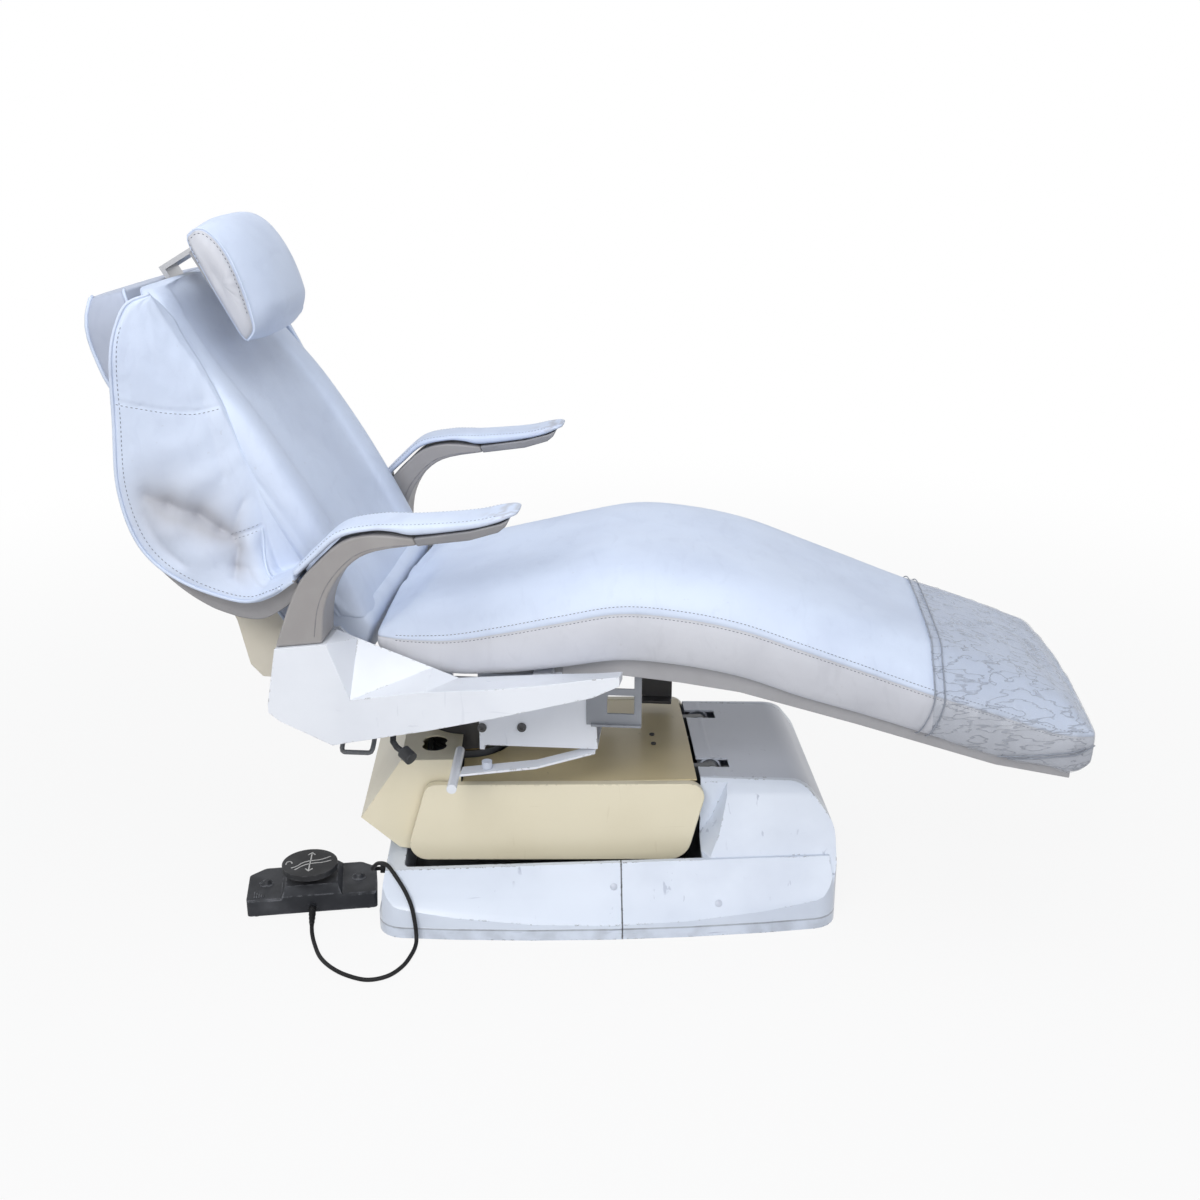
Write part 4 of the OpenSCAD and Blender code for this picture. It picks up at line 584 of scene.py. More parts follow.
def seat_half(u):
    ends = 0.03 * bump(u, 0.014, 0.02) + 0.05 * bump(u, 0.998, 0.02)
    return SEAT_W / 2 * (1 - 0.07 * max(u - 0.5, 0) * 2 - ends)


def seat_section(u, out=0.0):
    """Ring at share u of the cushion's length, moved out from its skin by a distance."""
    x = SEAT_REAR + u * SEAT_LEN
    h = seat_half(u)
    seam = smooth_at(SEAT_LINE, 1, u) * SEAT_LEN
    low = seam - smooth_at(SEAT_LINE, 2, u) * SEAT_SIDE
    rise = smooth_at(SEAT_LINE, 3, u) * SEAT_CROWN
    right = [(h + dy + out, low + t * (seam - low) - (out if t == 0 else 0)) for dy, t in SEAT_SIDES]
    seam_points = [(h - 3 + out, seam)]
    crown = [((h - 1.5 + out) * -s, seam + 2.5 + (rise - 2.5 + out) * math.sqrt(max(1 - abs(s) ** 4, 0)))
             for s in CROWN]
    under = [(y, low - out) for y in np.linspace(-(h - 24), h - 24, 5)]
    ring = under + right + seam_points + crown + [(-y, z) for y, z in reversed(right + seam_points)]
    return [(x, y, z) for y, z in ring]


def shrunk(ring, share, dx):
    ring = np.array(ring)
    middle = ring.mean(axis=0)
    return (ring - middle) * share + middle + [dx, 0, 0]


# Places round the ring: 0 to 4 lie under it, 5 to 11 go up one side, 12 is that side's seam, and the other
# side mirrors them at the ring's end
seat_us = np.r_[0.014, 0.02, 0.03, np.linspace(0.045, 0.97, 76), 0.983, 0.992, 0.998]
seat_rings = [np.array(seat_section(u)) for u in seat_us]
seat_rings = ([shrunk(seat_rings[0], 0.55, -6), shrunk(seat_rings[0], 0.85, -4)] + seat_rings
              + [shrunk(seat_rings[-1], 0.93, 3.5), shrunk(seat_rings[-1], 0.7, 5.5)])
seat_cushion = skin("seat_cushion_vinyl", seat_rings, UPPER, None, WHITE_VINYL)
columns = len(seat_rings[0])
column = np.arange(len(seat_rings) * columns) % columns
seam_columns = [11, 12, 13, columns - 8, columns - 7, columns - 9]
# The mark makes the vinyl browner along the two side seams.
mark(seat_cushion, "soil_and_shade", 0.25 * np.isin(column, [12, columns - 8]))
stuffed(seat_cushion, 2.0, 5, np.isin(column, list(range(0, 7)) + seam_columns))
# The cushion's sides take the greyer copy of the vinyl: painted shade on the sides.
seat_cushion.data.materials.append(SHADED_SIDE_VINYL)
side_faces = [len([c for c in f.vertices if c % columns <= 12 or c % columns >= columns - 8]) >= 3
              for f in seat_cushion.data.polygons]
seat_cushion.data.polygons.foreach_set("material_index", [int(s) for s in side_faces])
subdivided(seat_cushion)
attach(seat_cushion, "seat")
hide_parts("seat_cushion")
for side in (NEAR, FAR):
    for row, index in enumerate((11, 14)):
        line = [seat_section(u)[index if side == FAR else 4 - index] for u in np.linspace(0.04, 0.985, 160)]
        laid = on_surface(seat_cushion, row_points(line, UPPER), THREAD_LIFT)
        stitches(f"{near_far(side)}_seat_stitches_{row}", laid, FLOOR, "seat", DARK_THREAD,
                 3.6, 6.2, 0.55)


# Back cushion: side bolsters round a slightly sunk middle
def back_section(w):
    t = smooth_at(BACK_LINE, 1, w) * BACK_T
    half = smooth_at(BACK_LINE, 2, w) * BACK_W / 2
    slope = smooth_at(BACK_LINE, 3, w)
    profile = curve_through(BOLSTER + [[0.12, 0.8], [0, 0.8]], 34)
    right = [(y * half, d * t) for y, d in profile]
    whole = [(-y, d) for y, d in right[:-1]] + right[::-1]
    return [(BACK_REAR + d, y, w * BACK_LEN + slope * (t - d)) for y, d in whole]


back_ws = np.r_[-0.042, -0.03, np.linspace(0.0, 0.911, 56), 0.925, 0.935]
back_rings = [np.array(back_section(w)) for w in back_ws]
back_rings = ([shrunk(back_rings[0], 0.9, 0) - [0, 0, 3]] + back_rings
              + [shrunk(back_rings[-1], 0.9, 0) + [0, 0, 4]])
back_cushion = skin("back_cushion_vinyl", back_rings, BACK, None, WHITE_VINYL)
columns = len(back_rings[0])
column = np.arange(len(back_rings) * columns) % columns
mark(back_cushion, "soil_and_shade", np.zeros(len(column)))
stuffed(back_cushion, 1.6, 5, np.isin(column, [0, 1, 2, columns - 1, columns - 2, columns - 3]))
subdivided(back_cushion)
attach(back_cushion, "backrest")
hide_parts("back_cushion")


# Rear pad: the boxed layer behind the cushion, with piping round its front and rear edges
PAD_FRONT = 37.7
REAR_PAD = [[34, -30, 218, 0], [120, -30, 223, 0], [200, -30, 226, 0], [300, -30, 226, 0], [396, -30, 226, 0],
            [416, -38, 226, 0], [440, -46, 225, 0], [480, -55, 222, 0], [530, -53, 212, 0.05],
            [569, -42, 200, 0.2], [600, -18, 182, 0.33]]
rear_rings = []
for z in np.r_[34, 38, np.linspace(46, 592, 44), 597, 600]:
    back_x, half, slope = (smooth_at(REAR_PAD, k, z) for k in (1, 2, 3))
    f, b, e = PAD_FRONT, back_x, 10
    inset = 6 if z in (34, 600) else 2 if z in (38, 597) else 0
    right = [(f, half - e), (f - 3, half - 3), (f - e, half)]
    right += [(f - e + (b + 2 * e - f) * t, half + 2.5 * math.sin(math.pi * t)) for t in (0.25, 0.5, 0.75)]
    right += [(b + e, half), (b + 3, half - 3), (b, half - e)]
    rear = [(b - 3 * (1 - (k / 4) ** 2), k / 5 * half) for k in (4, 2, 0, -2, -4)]
    front = [(f, k / 5 * half) for k in (-4, -2, 0, 2, 4)]
    ring = right + rear + [(x, -y) for x, y in reversed(right)] + front
    rear_rings.append([(x, y * (half - inset) / half, z + slope * (f - x)) for x, y in ring])
# The pad takes the darker copy of the white vinyl as painted shade; its piping keeps the white vinyl.
rear_pad = skin("rear_pad_vinyl", rear_rings, BACK, "backrest", SHADED_REAR_VINYL)
mark(rear_pad, "soil_and_shade", np.zeros(len(rear_pad.data.vertices)))
subdivided(rear_pad)
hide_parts("back_rear_pad")
for side in (NEAR, FAR):
    for edge, k in (("front", 1), ("rear", 7)):
        line = [r[k] if side == FAR else r[8 - k + 14] for r in rear_rings[1:]]
        laid = on_surface(rear_pad, row_points(line, BACK), 1.4)
        piping(f"{near_far(side)}_{edge}_pad_piping", laid, 2.8, FLOOR, "backrest", WHITE_VINYL)


# Headrest: a crescent pillow between two puffed end panels, piped along their seam
HEAD_MID = [[140.3, 447], [175, 442], [203, 460], [211, 478], [219, 517], [220, 556], [213, 594], [197, 621],
            [178, 633], [158, 629], [142, 606]]
HEAD_SIDE = [[142, 456], [152, 447], [162, 451], [169, 468], [180, 507], [188, 547], [190, 578], [186, 603],
             [176, 620], [161, 621], [149, 604]]
HEAD_POINTS = 56
END_GATHERS = [0, 0.1, 0.3, 0.6, 1, 0.7]


def closed_curve(points, count):
    p = np.array(points, float)
    around = curve_through(np.vstack([p[-3:], p, p[:3]]), 700)
    start = np.linalg.norm(around[:350] - p[0], axis=1).argmin()
    end = 350 + np.linalg.norm(around[350:] - p[0], axis=1).argmin()
    return spread(around[start:end + 1], count + 1)[:-1]


head_mid, head_side = closed_curve(HEAD_MID, HEAD_POINTS), closed_curve(HEAD_SIDE, HEAD_POINTS)
centre = head_side.mean(axis=0)
head_rings = []


def head_ring(s, shrink, y):
    k = 1 - abs(s) ** 3
    loop = (head_side + (head_mid - head_side) * k - centre) * shrink + centre
    return [(x, y, z) for x, z in loop]


END_PANEL = [(0.1, 150), (0.35, 149.5), (0.6, 148), (0.8, 145), (0.93, 140.5), (0.985, 136.5)]
for shrink, y in END_PANEL:
    head_rings.append(head_ring(1, shrink, -y))
for y in np.linspace(-133, 133, 37):
    head_rings.append(head_ring(y / 136, 1.0, y))
for shrink, y in reversed(END_PANEL):
    head_rings.append(head_ring(1, shrink, y))
head_rings = np.array(head_rings)
gathers = np.zeros(head_rings.shape[:2])
around = np.arange(HEAD_POINTS)
low_front = bump(around, 14, 7) * np.sin(around * 2.1) * 2.2
for i, gather in enumerate(END_GATHERS):
    gathers[i] = low_front * (0.2 + gather)
    gathers[-1 - i] = gathers[i]
head_rings[:, :, 1] += gathers * np.sign(head_rings[:, :, 1])
headrest = skin("headrest_vinyl", head_rings, BACK, None, WHITE_VINYL)
# The end panels take the greyer copy of the vinyl: painted shade on the ends.
headrest.data.materials.append(SHADED_SIDE_VINYL)
rows = np.arange(len(headrest.data.vertices)) // HEAD_POINTS
last_row = len(head_rings) - 1
on_seam = (rows == 5) | (rows == last_row - 5)
# The mark makes the vinyl browner along the seams of the end panels.
mark(headrest, "soil_and_shade", 0.3 * on_seam)
stuffed(headrest, 2.0, 4, on_seam)
end_faces = [int(max(rows[v] for v in f.vertices) <= 5 or min(rows[v] for v in f.vertices) >= last_row - 5)
             for f in headrest.data.polygons]
headrest.data.polygons.foreach_set("material_index", end_faces)
subdivided(headrest)
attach(headrest, "headrest")
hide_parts("headrest_cushion")
for side in (NEAR, FAR):
    loop = head_rings[6 if side == NEAR else len(head_rings) - 7]
    loop = np.vstack([loop, loop[:1]])
    laid = on_surface(headrest, row_points(loop, BACK), 0.8)
    piping(f"{near_far(side)}_headrest_piping", laid, 1.9, FLOOR, "headrest", WHITE_VINYL)
    inner = head_rings[4 if side == NEAR else len(head_rings) - 5][8:40]
    laid = on_surface(headrest, row_points(inner, BACK), 0.3)
    stitches(f"{near_far(side)}_headrest_stitches", laid, FLOOR, "headrest", DARK_THREAD,
             3.4, 7, 0.6)


# Apron: the cushion's foot, which fills the corner between the backrest and the seat
APRON = [[-196, 236], [-140, 242], [-116, 238], [-107, 222], [-110, 203], [-117, 182], [-125, 160],
         [-137, 141], [-165, 134], [-196, 136]]
apron_rings = []
for y in np.r_[-229, -227, -222, np.linspace(-214, 214, 25), 222, 227, 229]:
    ring = np.array([(x, y, z) for x, z in closed_curve(APRON, 40)])
    end = max(abs(y) - 214, 0) / 15
    apron_rings.append(shrunk(ring, 1 - 0.16 * end ** 2, 0))
apron = skin("back_apron_vinyl", apron_rings, UPPER, None, WHITE_VINYL)
subdivided(apron)
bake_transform(apron)


# Wings: a puffed panel on each side of the backrest, whose foot runs on to the arm as a strap
WING_IN = [[-415, 239.5, 741], [-375, 239.5, 668], [-349, 239.5, 626], [-316, 239.5, 558], [-291, 239.5, 486],
           [-268, 240, 395], [-249, 243, 320], [-225, 250, 318], [-195, 262, 338]]
WING_OUT = [[-418, 247, 741], [-436, 262, 731], [-450, 286, 692], [-456, 300, 646], [-461, 300, 560],
            [-466, 300, 453], [-442, 300, 366], [-385, 300, 313], [-295, 303, 284], [-243, 318, 299],
            [-197, 339, 331]]
WING_SEAM = [[0.258, 1], [0.29, 0.72], [0.326, 0.45], [0.358, 0.2], [0.37, 0]]
WING_DART = [[0.7, 0.375], [0.722, 0.2], [0.737, 0.05]]
WING_TUCK = [[0.74, 0.05], [0.77, 0.08], [0.82, 0.2], [0.866, 0.35], [0.9, 0.475]]
# Folds of the wing: start u and v, end u and v, width, depth in millimetres, and soil, which is painted shade
# along the fold's lower side, with dirt.
WING_CREASES = [[0.49, 0.82, 0.535, 0.68, 0.024, 9, 0.5], [0.535, 0.68, 0.6, 0.5, 0.026, 13, 0.62],
                [0.6, 0.5, 0.66, 0.42, 0.022, 12, 0.55], [0.66, 0.42, 0.7, 0.36, 0.018, 8, 0.35],
                [0.735, 0.38, 0.768, 0.56, 0.02, 10, 0.4], [0.768, 0.56, 0.79, 0.72, 0.018, 6, 0.25],
                [0.53, 0.88, 0.67, 0.87, 0.016, 5, 0.15], [0.64, 0.12, 0.69, 0.33, 0.016, 4, 0.12],
                [0.8, 0.5, 0.87, 0.72, 0.018, 4, 0.12], [0.34, 0.12, 0.55, 0.2, 0.024, 4, 0.05],
                [0.76, 0.1, 0.88, 0.3, 0.016, 5, 0.12]]
WING_SWELLS = [[0.53, 0.4, 0.035, 0.35, 5], [0.69, 0.66, 0.045, 0.2, 10], [0.75, 0.3, 0.03, 0.12, 5],
               [0.84, 0.55, 0.05, 0.3, 4], [0.6, 0.76, 0.025, 0.12, 4], [0.42, 0.5, 0.04, 0.4, 3]]
# Most soil one spot takes; on the wings that soil is painted shade in the folds, with dirt.
MOST_SOIL_AND_SHADE = 0.7
WING_ROWS, WING_COLUMNS, LINING_COLUMNS = 160, 46, 9
WING_SHAPE = 0.35
WING_PUFF, WING_THICK = 9, 13
LINING_FROM, LINING_DROP = 0.52, 40


def wing_spot(u, v):
    """Bulge and soil mark of the panel, for shares down and across it; WING_SHAPE is its width to its length.
    The soil mark is painted shade along the lower side of each fold, with dirt.
    """
    fullness = max(math.sin(math.pi * min(max(v, 0), 1)), 0) ** 0.7
    rise = WING_PUFF * fullness * (0.55 + 0.45 * math.sin(math.pi * u) ** 0.5)
    soil_and_shade = 0.0
    across = v * WING_SHAPE
    for line, depth, width in ((WING_SEAM, 1.6, 0.005), (WING_DART, 2.6, 0.005)):
        for (u0, v0), (u1, v1) in zip(line, line[1:]):
            rise -= depth * bell(u, across, u0, v0 * WING_SHAPE, u1, v1 * WING_SHAPE, width)
    for u0, v0, u1, v1, width, depth, shade_and_dirt in WING_CREASES:
        ends = (u0, v0 * WING_SHAPE, u1, v1 * WING_SHAPE)
        rise -= depth * crease(u, across, *ends, width)
        # Browner band just below each fold: painted shade, with dirt.
        soil_and_shade += shade_and_dirt * crease(u - 0.008, across, *ends, 1.7 * width)
    for u0, v0, du, dv, height in WING_SWELLS:
        rise += height * bump(u, u0, du) * bump(v, v0, dv)
    broad = noise.noise(Vector((u * 9, v * 2.5, 3.1)))
    fine = noise.noise(Vector((u * 22, v * 6, 1.7)))
    return rise + 2.2 * (broad + 0.5 * fine), min(soil_and_shade, MOST_SOIL_AND_SHADE)


def wing(side):
    top = curve_through(WING_IN, WING_ROWS) * [1, side, 1]
    edge = curve_through(WING_OUT, WING_ROWS) * [1, side, 1]
    tip = np.clip(np.linspace(0, 1, WING_ROWS) / 0.07, 0, 1)[:, None]
    edge = top + (edge - top) * (0.05 + 0.95 * np.sqrt(tip * (2 - tip)))
    across = edge - top
    along = np.gradient((top + edge) / 2, axis=0)
    out = np.cross(across, along)
    out *= side * np.sign(out[:, 1:2]) / np.linalg.norm(out, axis=1, keepdims=True)
    from_upper = BACK.inverted() @ UPPER
    into_upper = from_upper.inverted()
    rings, soil_and_shade_marks = [], []
    for i, u in enumerate(np.linspace(0, 1, WING_ROWS)):
        width = np.linalg.norm(across[i])
        thick = WING_THICK * min(1, 0.1 + 4 * u) * (1 - 0.45 * max(u - 0.7, 0) / 0.3)
        front, spots = [], []
        for v in np.linspace(0, 1, WING_COLUMNS):
            rise, soil_and_shade = wing_spot(u, v)
            front.append(top[i] + across[i] * v + out[i] * rise)
            spots.append(soil_and_shade)
        turn = [edge[i] + across[i] / width * 3 - out[i] * 3,
                edge[i] + across[i] / width * 2 - out[i] * thick * 0.7]
        back = [edge[i] - across[i] * (1 - v) - out[i] * thick
                for v in np.linspace(0.96, 0.03, LINING_COLUMNS)]
        local = from_upper @ Vector(top[i])
        w = local.z / BACK_LEN
        beside = smooth_at(BACK_LINE, 2, w) * BACK_W / 2 - 8
        depth = BACK_REAR + 0.45 * smooth_at(BACK_LINE, 1, w) * BACK_T
        tucked = np.array(into_upper @ Vector((max(local.x + 4, depth), side * beside, local.z)))
        share = min(1, max(0, (0.97 - u) / 0.1), u / 0.1)
        flange = [top[i] + (tucked - top[i]) * share * t - out[i] * 2.5 * t for t in (1, 0.55, 0.2)]
        ring = np.array(flange + front + turn + back)
        joined = max(1 - u / 0.05, 0) ** 2
        rings.append(ring + (top[i] - ring) * joined)
        soil_and_shade_marks.append([0] * len(flange) + spots + [0] * (2 + LINING_COLUMNS))
    name = near_far(side)
    panel = skin(f"{name}_wing_vinyl", rings, UPPER, None, WHITE_VINYL)
    mark(panel, "soil_and_shade", soil_and_shade_marks)
    panel.data.materials.append(GREY_VINYL)
    count = len(rings[0])
    inner_side = [int(f.vertices[0] > 12 * count and len(f.vertices) == 4
                      and min(c % count for c in f.vertices) >= WING_COLUMNS + 4)
                  for f in panel.data.polygons]
    panel.data.polygons.foreach_set("material_index", inner_side)
    subdivided(panel)

    def laid(line, lift, count):
        """Line of shares (u, v) as points in the row, on the panel's outer face."""
        points = []
        for u, v in curve_through(line, count):
            k = u * (WING_ROWS - 1)
            i = min(int(k), WING_ROWS - 2)
            t = k - i
            rise = wing_spot(u, v)[0]
            above, below = (top[j] + across[j] * v for j in (i, i + 1))
            points.append(tuple(UPPER @ Vector(above * (1 - t) + below * t + out[i] * (rise + 1))))
        return on_surface(panel, points, lift)

    hang = []
    inward = np.array([0.35, -side * 0.55, -1.0])
    for i in range(int(WING_ROWS * LINING_FROM), WING_ROWS):
        u = i / (WING_ROWS - 1)
        taper = 1 - 0.45 * max(u - 0.8, 0) / 0.2
        drop = LINING_DROP * np.clip((u - LINING_FROM) / 0.22, 0, 1) ** 0.7 * taper
        hang.append([edge[i] + across[i] / np.linalg.norm(across[i]) - out[i] * 2 + inward * drop * t
                     + np.array([0, -side * 6 * math.sin(math.pi * t), 0]) for t in np.linspace(0, 1, 9)])
    lining = skin(f"{name}_wing_lining", hang, UPPER, None, GREY_VINYL, loop=False)
    subdivided(lining)
    depth = lining.modifiers.new("depth", "SOLIDIFY")
    depth.thickness = 2.5 * MM
    depth.offset = 0
    apply_all(lining)
    pieces = [panel, lining]
    ring_lip = 3 + WING_COLUMNS
    lip = [tuple(UPPER @ Vector(rings[i][ring_lip] + out[i] * 2.5)) for i in range(1, int(WING_ROWS * 0.96))]
    pieces.append(piping(f"{name}_wing_piping", lip, 2.6, FLOOR, None, WHITE_VINYL))
    pieces.append(piping(f"{name}_wing_tuck_piping", laid(WING_TUCK, 0.5, 40), 2.0, FLOOR, None, WHITE_VINYL))
    for title, line, thread in (("seam", [[u + 0.007, v] for u, v in WING_SEAM], DARK_THREAD),
                                ("dart_above", [[u - 0.008, v] for u, v in WING_DART], SHADOW_THREAD),
                                ("dart_below", [[u + 0.008, v] for u, v in WING_DART], SHADOW_THREAD),
                                ("lip", [[0.1, 0.95], [0.25, 0.95], [0.5, 0.95], [0.75, 0.95], [0.97, 0.94]],
                                 DARK_THREAD)):
        count = 200 if title == "lip" else 40
        pieces.append(stitches(f"{name}_wing_{title}_stitches", laid(line, 0.25, count), FLOOR, None, thread,
                               3.8, 7, 0.5))
    for piece in pieces:
        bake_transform(piece)
    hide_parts(f"{name}_wing")


for side in (NEAR, FAR):
    wing(side)


# Arm pads: long cushions with stitched edges, worn at the tip
PAD_ROWS = [[-193, 333, -201, 339], [-164, 360, -171, 368], [-123, 394.5, -128, 405], [-74, 407, -76, 417],
            [-43, 406, -43, 419], [-10, 401, -8, 420], [73, 412.5, 71, 427], [115, 424, 113, 436],
            [132, 432, 134, 439.5], [142, 435, 144, 438]]
ARM_Y, PAD_W = 300.5, 78
PAD_POINTS, PAD_ROUND_FROM, PAD_ROUND = 36, 61, 8
pad_line = curve_through(PAD_ROWS, 70)
for side in (NEAR, FAR):
    rings, soil_and_shade_marks = [], []
    for i, (bx, bz, tx, tz) in enumerate(pad_line):
        past = max(i - PAD_ROUND_FROM, 0) / PAD_ROUND
        end = 0.6 + 0.4 * math.sqrt(max(1 - past ** 2, 0))
        ring = []
        for a in np.linspace(0, 2 * np.pi, PAD_POINTS, endpoint=False):
            c, s = math.cos(a), math.sin(a)
            y = PAD_W / 2 * end * math.copysign(abs(c) ** 0.42, c)
            up = 0.5 + 0.5 * math.copysign(abs(s) ** 0.75, s)
            puff = 1.6 * max(s, 0) * (1 - abs(c) ** 4)
            ring.append((bx + (tx - bx) * up, side * (ARM_Y + y), bz + (tz - bz) * up + puff))
            soil_and_shade_marks.append(0.5 * bump(i, 66, 6) * (noise.noise(Vector((i * 0.5, a * 3, 2))) > 0) * (s > 0))
        rings.append(ring)
    pad = skin(f"{near_far(side)}_arm_pad_vinyl", rings, UPPER, None, WHITE_VINYL)
    mark(pad, "soil_and_shade", soil_and_shade_marks)
    held = np.isin(np.arange(len(soil_and_shade_marks)) % PAD_POINTS, list(range(17, PAD_POINTS)) + [0, 1])
    stuffed(pad, 1.2, 2, held)
    subdivided(pad)
    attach(pad, "seat")
    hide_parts(f"{near_far(side)}_arm_pad")
    for k, y in (("outer", PAD_W / 2 - 3), ("inner", -PAD_W / 2 + 3)):
        line = [((bx + tx) / 2, side * (ARM_Y + y), tz + 6) for bx, bz, tx, tz in pad_line[2:64]]
        laid = on_surface(pad, row_points(line, UPPER), THREAD_LIFT)
        stitches(f"{near_far(side)}_arm_pad_{k}_stitches", laid, FLOOR, "seat", SHADOW_THREAD,
                 3.4, 6, 0.45)


# Toe cover: a clear bag drawn over the leg end, with a bound hem and wrinkles that run across it
def clear_film(name):
    """Clear film with fine wrinkles, which show darker and less clear: the doubled film, and painted shade in
    the folds.
    """
    clear, folded = tint(190, 196, 207), tint(112, 118, 130)
    f = Finish(name, clear, 0.14, Specular_IOR_Level=0.7, Coat_Weight=0.3, Coat_Roughness=0.1)
    ridge = f.noise(17, 2, (0.28, 0.8, 1.3), warp=0.3) - 0.5
    fold = 1 - f.math("ABSOLUTE", ridge, 0).between(0.003, 0.028)
    # Darker along the folds: painted shade, with the doubled film.
    f.set("Base Color", f.mix(0.5 * fold, clear, folded))
    f.set("Alpha", 0.36 + 0.24 * fold)
    f.set("Roughness", 0.16 + 0.2 * f.noise(40, 3))
    f.relief(fold, 1.4, 0.8)
    return f.material


CLEAR_FILM = clear_film("clear_film")
FILM_TRIM = moulded("film_trim", tint(126, 132, 144), tint(158, 164, 176), 0.35)
TOE_FROM = 0.775
TRIM_R, TRIM_LIFT = 1.0, 3.6
STRAP_FROM, STRAP_RUN = 0.866, 0.118
toe_rings = [seat_section(u, 3)[5:] for u in np.linspace(TOE_FROM, 0.997, 90)]
nose = toe_rings[-1]
toe_rings = np.array(toe_rings + [shrunk(nose, 0.985, 3), shrunk(nose, 0.93, 7), shrunk(nose, 0.75, 9),
                                   shrunk(nose, 0.45, 12), shrunk(nose, 0.1, 12)])
toe_shape = toe_rings.shape
folds = []
for x, y, z in toe_rings.reshape(-1, 3):
    long_fold = noise.noise(Vector((x / 90 + y / 120, y / 26 - x / 60, z / 60)))
    short_fold = noise.noise(Vector((x / 40 + z / 60, y / 14, z / 24 + 4)))
    folds.append(1.0 + 2.6 * max(1 - 5 * abs(long_fold), 0) ** 1.5 + 1.0 * max(1 - 5 * abs(short_fold), 0))
toe_points = on_surface(seat_cushion, row_points(toe_rings.reshape(-1, 3), UPPER), folds)
toe_rings = np.array(toe_points).reshape(toe_shape)
toe_film = skin("toe_film", toe_rings, FLOOR, "seat", CLEAR_FILM, loop=False)
subdivided(toe_film)
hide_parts("toe_cover")
for k, u in enumerate((TOE_FROM + 0.001, TOE_FROM + 0.0145)):
    line = np.array(seat_section(u, 1.8))[5:]
    line[:, 0] -= 26 * np.clip((smooth_at(SEAT_LINE, 1, u) * SEAT_LEN - line[:, 2]) / 70, 0, 1) ** 1.5
    laid = on_surface(seat_cushion, row_points(spread(line, 90), UPPER), TRIM_LIFT)
    piping(f"toe_hem_{k}", laid, TRIM_R, FLOOR, "seat", FILM_TRIM)
for side in (NEAR, FAR):
    for k, lift in enumerate((0, 0.014)):
        line = []
        for t in np.linspace(0, 1, 30):
            u = STRAP_FROM + lift + STRAP_RUN * t
            seam = smooth_at(SEAT_LINE, 1, u) * SEAT_LEN
            low = seam - smooth_at(SEAT_LINE, 2, u) * SEAT_SIDE
            z = low + (seam - low) * (0.02 + 0.72 * t)
            line.append((SEAT_REAR + u * SEAT_LEN, side * (seat_half(u) + 3), z))
        laid = on_surface(seat_cushion, row_points(line, UPPER), TRIM_LIFT)
        piping(f"{near_far(side)}_toe_strap_{k}", laid, TRIM_R, FLOOR, "seat", FILM_TRIM)


# Covers and other hard pieces, with their edges rounded
ROUNDED = {"head_base_cover": (2.5, BASE_PAINT), "foot_base_cover": (4, BASE_PAINT),
           "pivot_lid": (1.5, LID_PAINT), "near_side_panel": (2, BEIGE_PAINT),
           "far_side_panel": (2, BEIGE_PAINT), "rear_cover": (0.5, BEIGE_PAINT),
           "lift_top_cover": (1.5, OLIVE_PAINT), "near_side_cover": (2.5, WHITE_PAINT),
           "far_side_cover": (2.5, WHITE_PAINT), "seat_frame": (0.8, WHITE_PAINT),
           "grip_bracket": (0.8, WHITE_PAINT), "window_guard": (1, GUARD_PAINT),
           "far_bracket": (1, DARK_METAL), "seat_pan": (2, SHADED_PAN_BOARD), "back_shell": (1.5, CREAM_PLASTIC),
           "headrest_pan": (1.5, SHADED_PAN_BOARD), "near_arm_frame": (4, ARM_SHELL),
           "far_arm_frame": (4, ARM_SHELL), "arm_trays": (2.5, TRAY_PLASTIC), "pedal_case": (1.2, CHARCOAL),
           "pedal_disc": (1.5, BLACK_PLASTIC), "back_frame": (0.8, FRAME_STEEL),
           "carrier_casting": (1.5, FRAME_STEEL), "level_link": (1, FRAME_STEEL),
           "power_unit": (1, FRAME_STEEL), "pivot_brackets": (0.8, FRAME_STEEL)}
SHARP_ANGLE = {"side_cover": 14, "base_cover": 22}
rounded = {}
for node, (width, finish) in ROUNDED.items():
    sharp = SHARP_ANGLE.get(node.partition("_")[2], 35)
    rounded[node] = softened(node, width, finish, 3 if width > 2 else 2, sharp)


# Arm frames: a fine groove line inside the edge of each side face, drawn as a thin tube of the darker tray
# plastic: painted shade in the groove
ARM_OUTER = [[-234, 218.6], [-212, 278], [-189, 326], [-161, 356], [-121, 390], [-73, 402], [-12, 398]]
ARM_INNER = [[-160, 227.5], [-154, 282], [-137, 322], [-106, 358], [-70, 376], [-7, 387]]
ARM_FRAME_W = 70
for side in (NEAR, FAR):
    for face in (-1, 1):
        y = side * (ARM_Y - 0.5 + face * ARM_FRAME_W / 2)
        outer = curve_through(ARM_OUTER, 60)
        inner = curve_through(ARM_INNER, 60)
        line = [(x, y, z) for x, z in outer + (inner - outer) * 0.82]
        laid = on_surface(rounded[f"{near_far(side)}_arm_frame"], row_points(line[3:-3], UPPER), 0.15)
        title = "outer" if face > 0 else "inner"
        piping(f"{near_far(side)}_arm_{title}_line", laid, 0.7, FLOOR, "seat", TRAY_PLASTIC, 6)


# Foot control: marks on the disc, ribs and cone rings on the case, and the cord's tapered boot
DISC_X, DISC_Y, DISC_TOP = -3, 50, 72
INK = 1.25
CONE_AT = [[-79.9, 57.2], [79.9, 57.2]]
CONE_RING = 12
RIB_AT = [-98, 10, 33]


def ink_line(name, points):
    line = [(DISC_X + x, DISC_Y + y, DISC_TOP + 0.1) for x, y in points]
    rings = [[(p[0], p[1], max(min(p[2], DISC_TOP + 0.35), DISC_TOP - 0.2)) for p in ring]
             for ring in tube_rings(line, INK, 8)]
    return skin(name, rings, PEDAL, "pedal_disc", WHITE_INK)


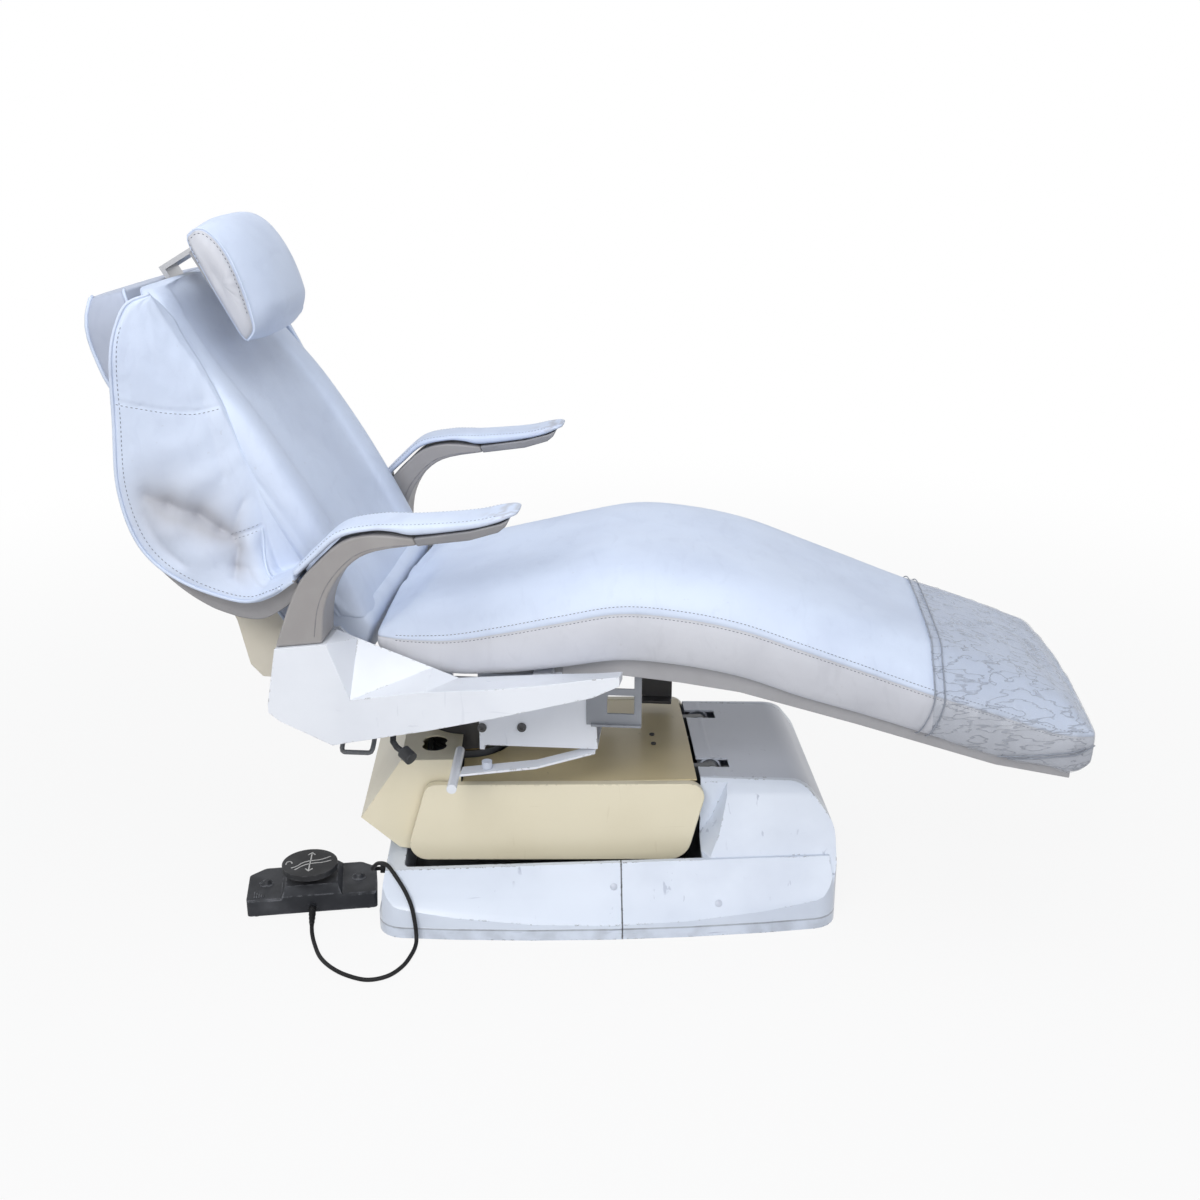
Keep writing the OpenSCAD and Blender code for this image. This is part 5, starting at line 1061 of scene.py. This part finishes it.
ink_line("disc_profile_mark", curve_through([[-31, -15], [-21, -9], [-12, 1], [0, 6], [18, 8], [36, 17]], 40))
ink_line("disc_seat_mark", curve_through([[-25, -22], [-10, -8], [6, -3], [22, -2], [37, 3]], 40))
ink_line("disc_tilt_mark", curve_through([[-41, -2], [-39, 7], [-33, 8], [-30, 1]], 30))
ink_line("disc_lift_mark", spread([(-1, -27), (3, 33)], 12))
for k, (x, y, turn) in enumerate([(3, 33, 86), (-1, -27, -94)]):
    place = Matrix.Translation((x, y, 0)) @ turned(turn, "Z")
    tip = [tuple(place @ Vector(p))[:2] for p in ((-6, -6, 0), (2, 0, 0), (-6, 6, 0))]
    ink_line(f"disc_arrow_{k}", spread(tip, 21))

for k in range(5):
    half = 10 - 1.9 * k
    line = [(RIB_AT[0] + 4 * k, RIB_AT[1] + half + y, RIB_AT[2]) for y in np.linspace(-half, half, 6)]
    piping(f"case_rib_{k}", line, 1.2, PEDAL, "base", CHARCOAL, 8)
around = np.linspace(0, 2 * np.pi, 49)
for k, (x, y) in enumerate(CONE_AT):
    ring = [(x + CONE_RING * math.cos(a), y + CONE_RING * math.sin(a), RIB_AT[2]) for a in around]
    piping(f"cone_ring_{k}", ring, 0.9, PEDAL, "base", CHARCOAL, 8)

boot_line = cord_line[:10]
boot_d = np.array([14, 13.4, 11.6, 12.4, 10.4, 11.2, 9.2, 9.8, 8.2, 7.6])
skin("cord_boot", tube_rings(boot_line, boot_d / 2, 18), FLOOR, "base", RUBBER)


# Floor, light and the soft pale room
def seen_rays(tree):
    """1 for rays from the camera, and for those that a surface reflects or lets through."""
    rays = tree.nodes.new("ShaderNodeLightPath")
    seen = rays.outputs["Is Camera Ray"]
    for kind in ("Is Glossy Ray", "Is Transmission Ray"):
        either = tree.nodes.new("ShaderNodeMath")
        either.operation = "MAXIMUM"
        tree.links.new(seen, either.inputs[0])
        tree.links.new(rays.outputs[kind], either.inputs[1])
        seen = either.outputs[0]
    return seen


def stage_finish(name, shown):
    """Pale matt surface that looks white to the camera and keeps part of its shadow."""
    f = Finish(name, (0.55, 0.55, 0.56), 0.9)
    light = f.add("ShaderNodeEmission", {}, {"Color": (1.0, 1.0, 1.0), "Strength": 1.0})
    far = f.add("ShaderNodeVectorMath", {"operation": "LENGTH"}, {0: f.place}, "Value").between(1.0, 3.4)
    out = f.tree.nodes["Material Output"]
    share = Value(f, seen_rays(f.tree)) * (shown + (1 - shown) * far)
    both = f.add("ShaderNodeMixShader", {}, {0: share, 1: Value(f, f.shader.outputs[0]), 2: light})
    f.tree.links.new(both.socket, out.inputs["Surface"])
    return f.material


def lamp(name, at, aim, size, power, colour=(1, 1, 1)):
    light = bpy.data.lights.new(name, "AREA")
    light.shape = "RECTANGLE"
    light.size, light.size_y = size
    light.energy = power
    light.color = colour
    holder = bpy.data.objects.new(name, light)
    bpy.context.scene.collection.objects.link(holder)
    holder.location = at
    holder.rotation_euler = (Vector(aim) - Vector(at)).to_track_quat("-Z", "Y").to_euler()


floor = new_piece("floor", [(-30, -30, -0.0005), (30, -30, -0.0005), (30, 30, -0.0005), (-30, 30, -0.0005)],
                  [(0, 1, 2, 3)], None, stage_finish("pale_floor", 0.9))
lamp("ceiling_light", (-0.3, -0.6, 3.2), (0, 0, 0.3), (3.2, 2.6), 52, (0.93, 0.96, 1.0))
lamp("front_light", (-1.5, -3.1, 2.7), (0, 0, 0.4), (1.9, 1.4), 68, (1.0, 0.985, 0.96))
lamp("fill_light", (0.9, -3.4, 1.2), (0.1, 0, 0.4), (2.0, 1.4), 22, (1.0, 0.985, 0.96))
lamp("side_light", (3.0, -0.8, 1.6), (0.2, 0, 0.5), (1.6, 1.8), 12)

world = bpy.data.worlds.new("pale_room")
bpy.context.scene.world = world
world.use_nodes = True
tree = world.node_tree
ground = tree.nodes["Background"]
ground.inputs["Color"].default_value = (0.93, 0.96, 1, 1)
ground.inputs["Strength"].default_value = 0.25
shown = tree.nodes.new("ShaderNodeBackground")
shown.inputs["Color"].default_value = (1, 1, 1, 1)
either = tree.nodes.new("ShaderNodeMixShader")
tree.links.new(seen_rays(tree), either.inputs[0])
tree.links.new(ground.outputs[0], either.inputs[1])
tree.links.new(shown.outputs[0], either.inputs[2])
tree.links.new(either.outputs[0], tree.nodes["World Output"].inputs["Surface"])
bpy.context.scene.view_settings.view_transform = "Standard"
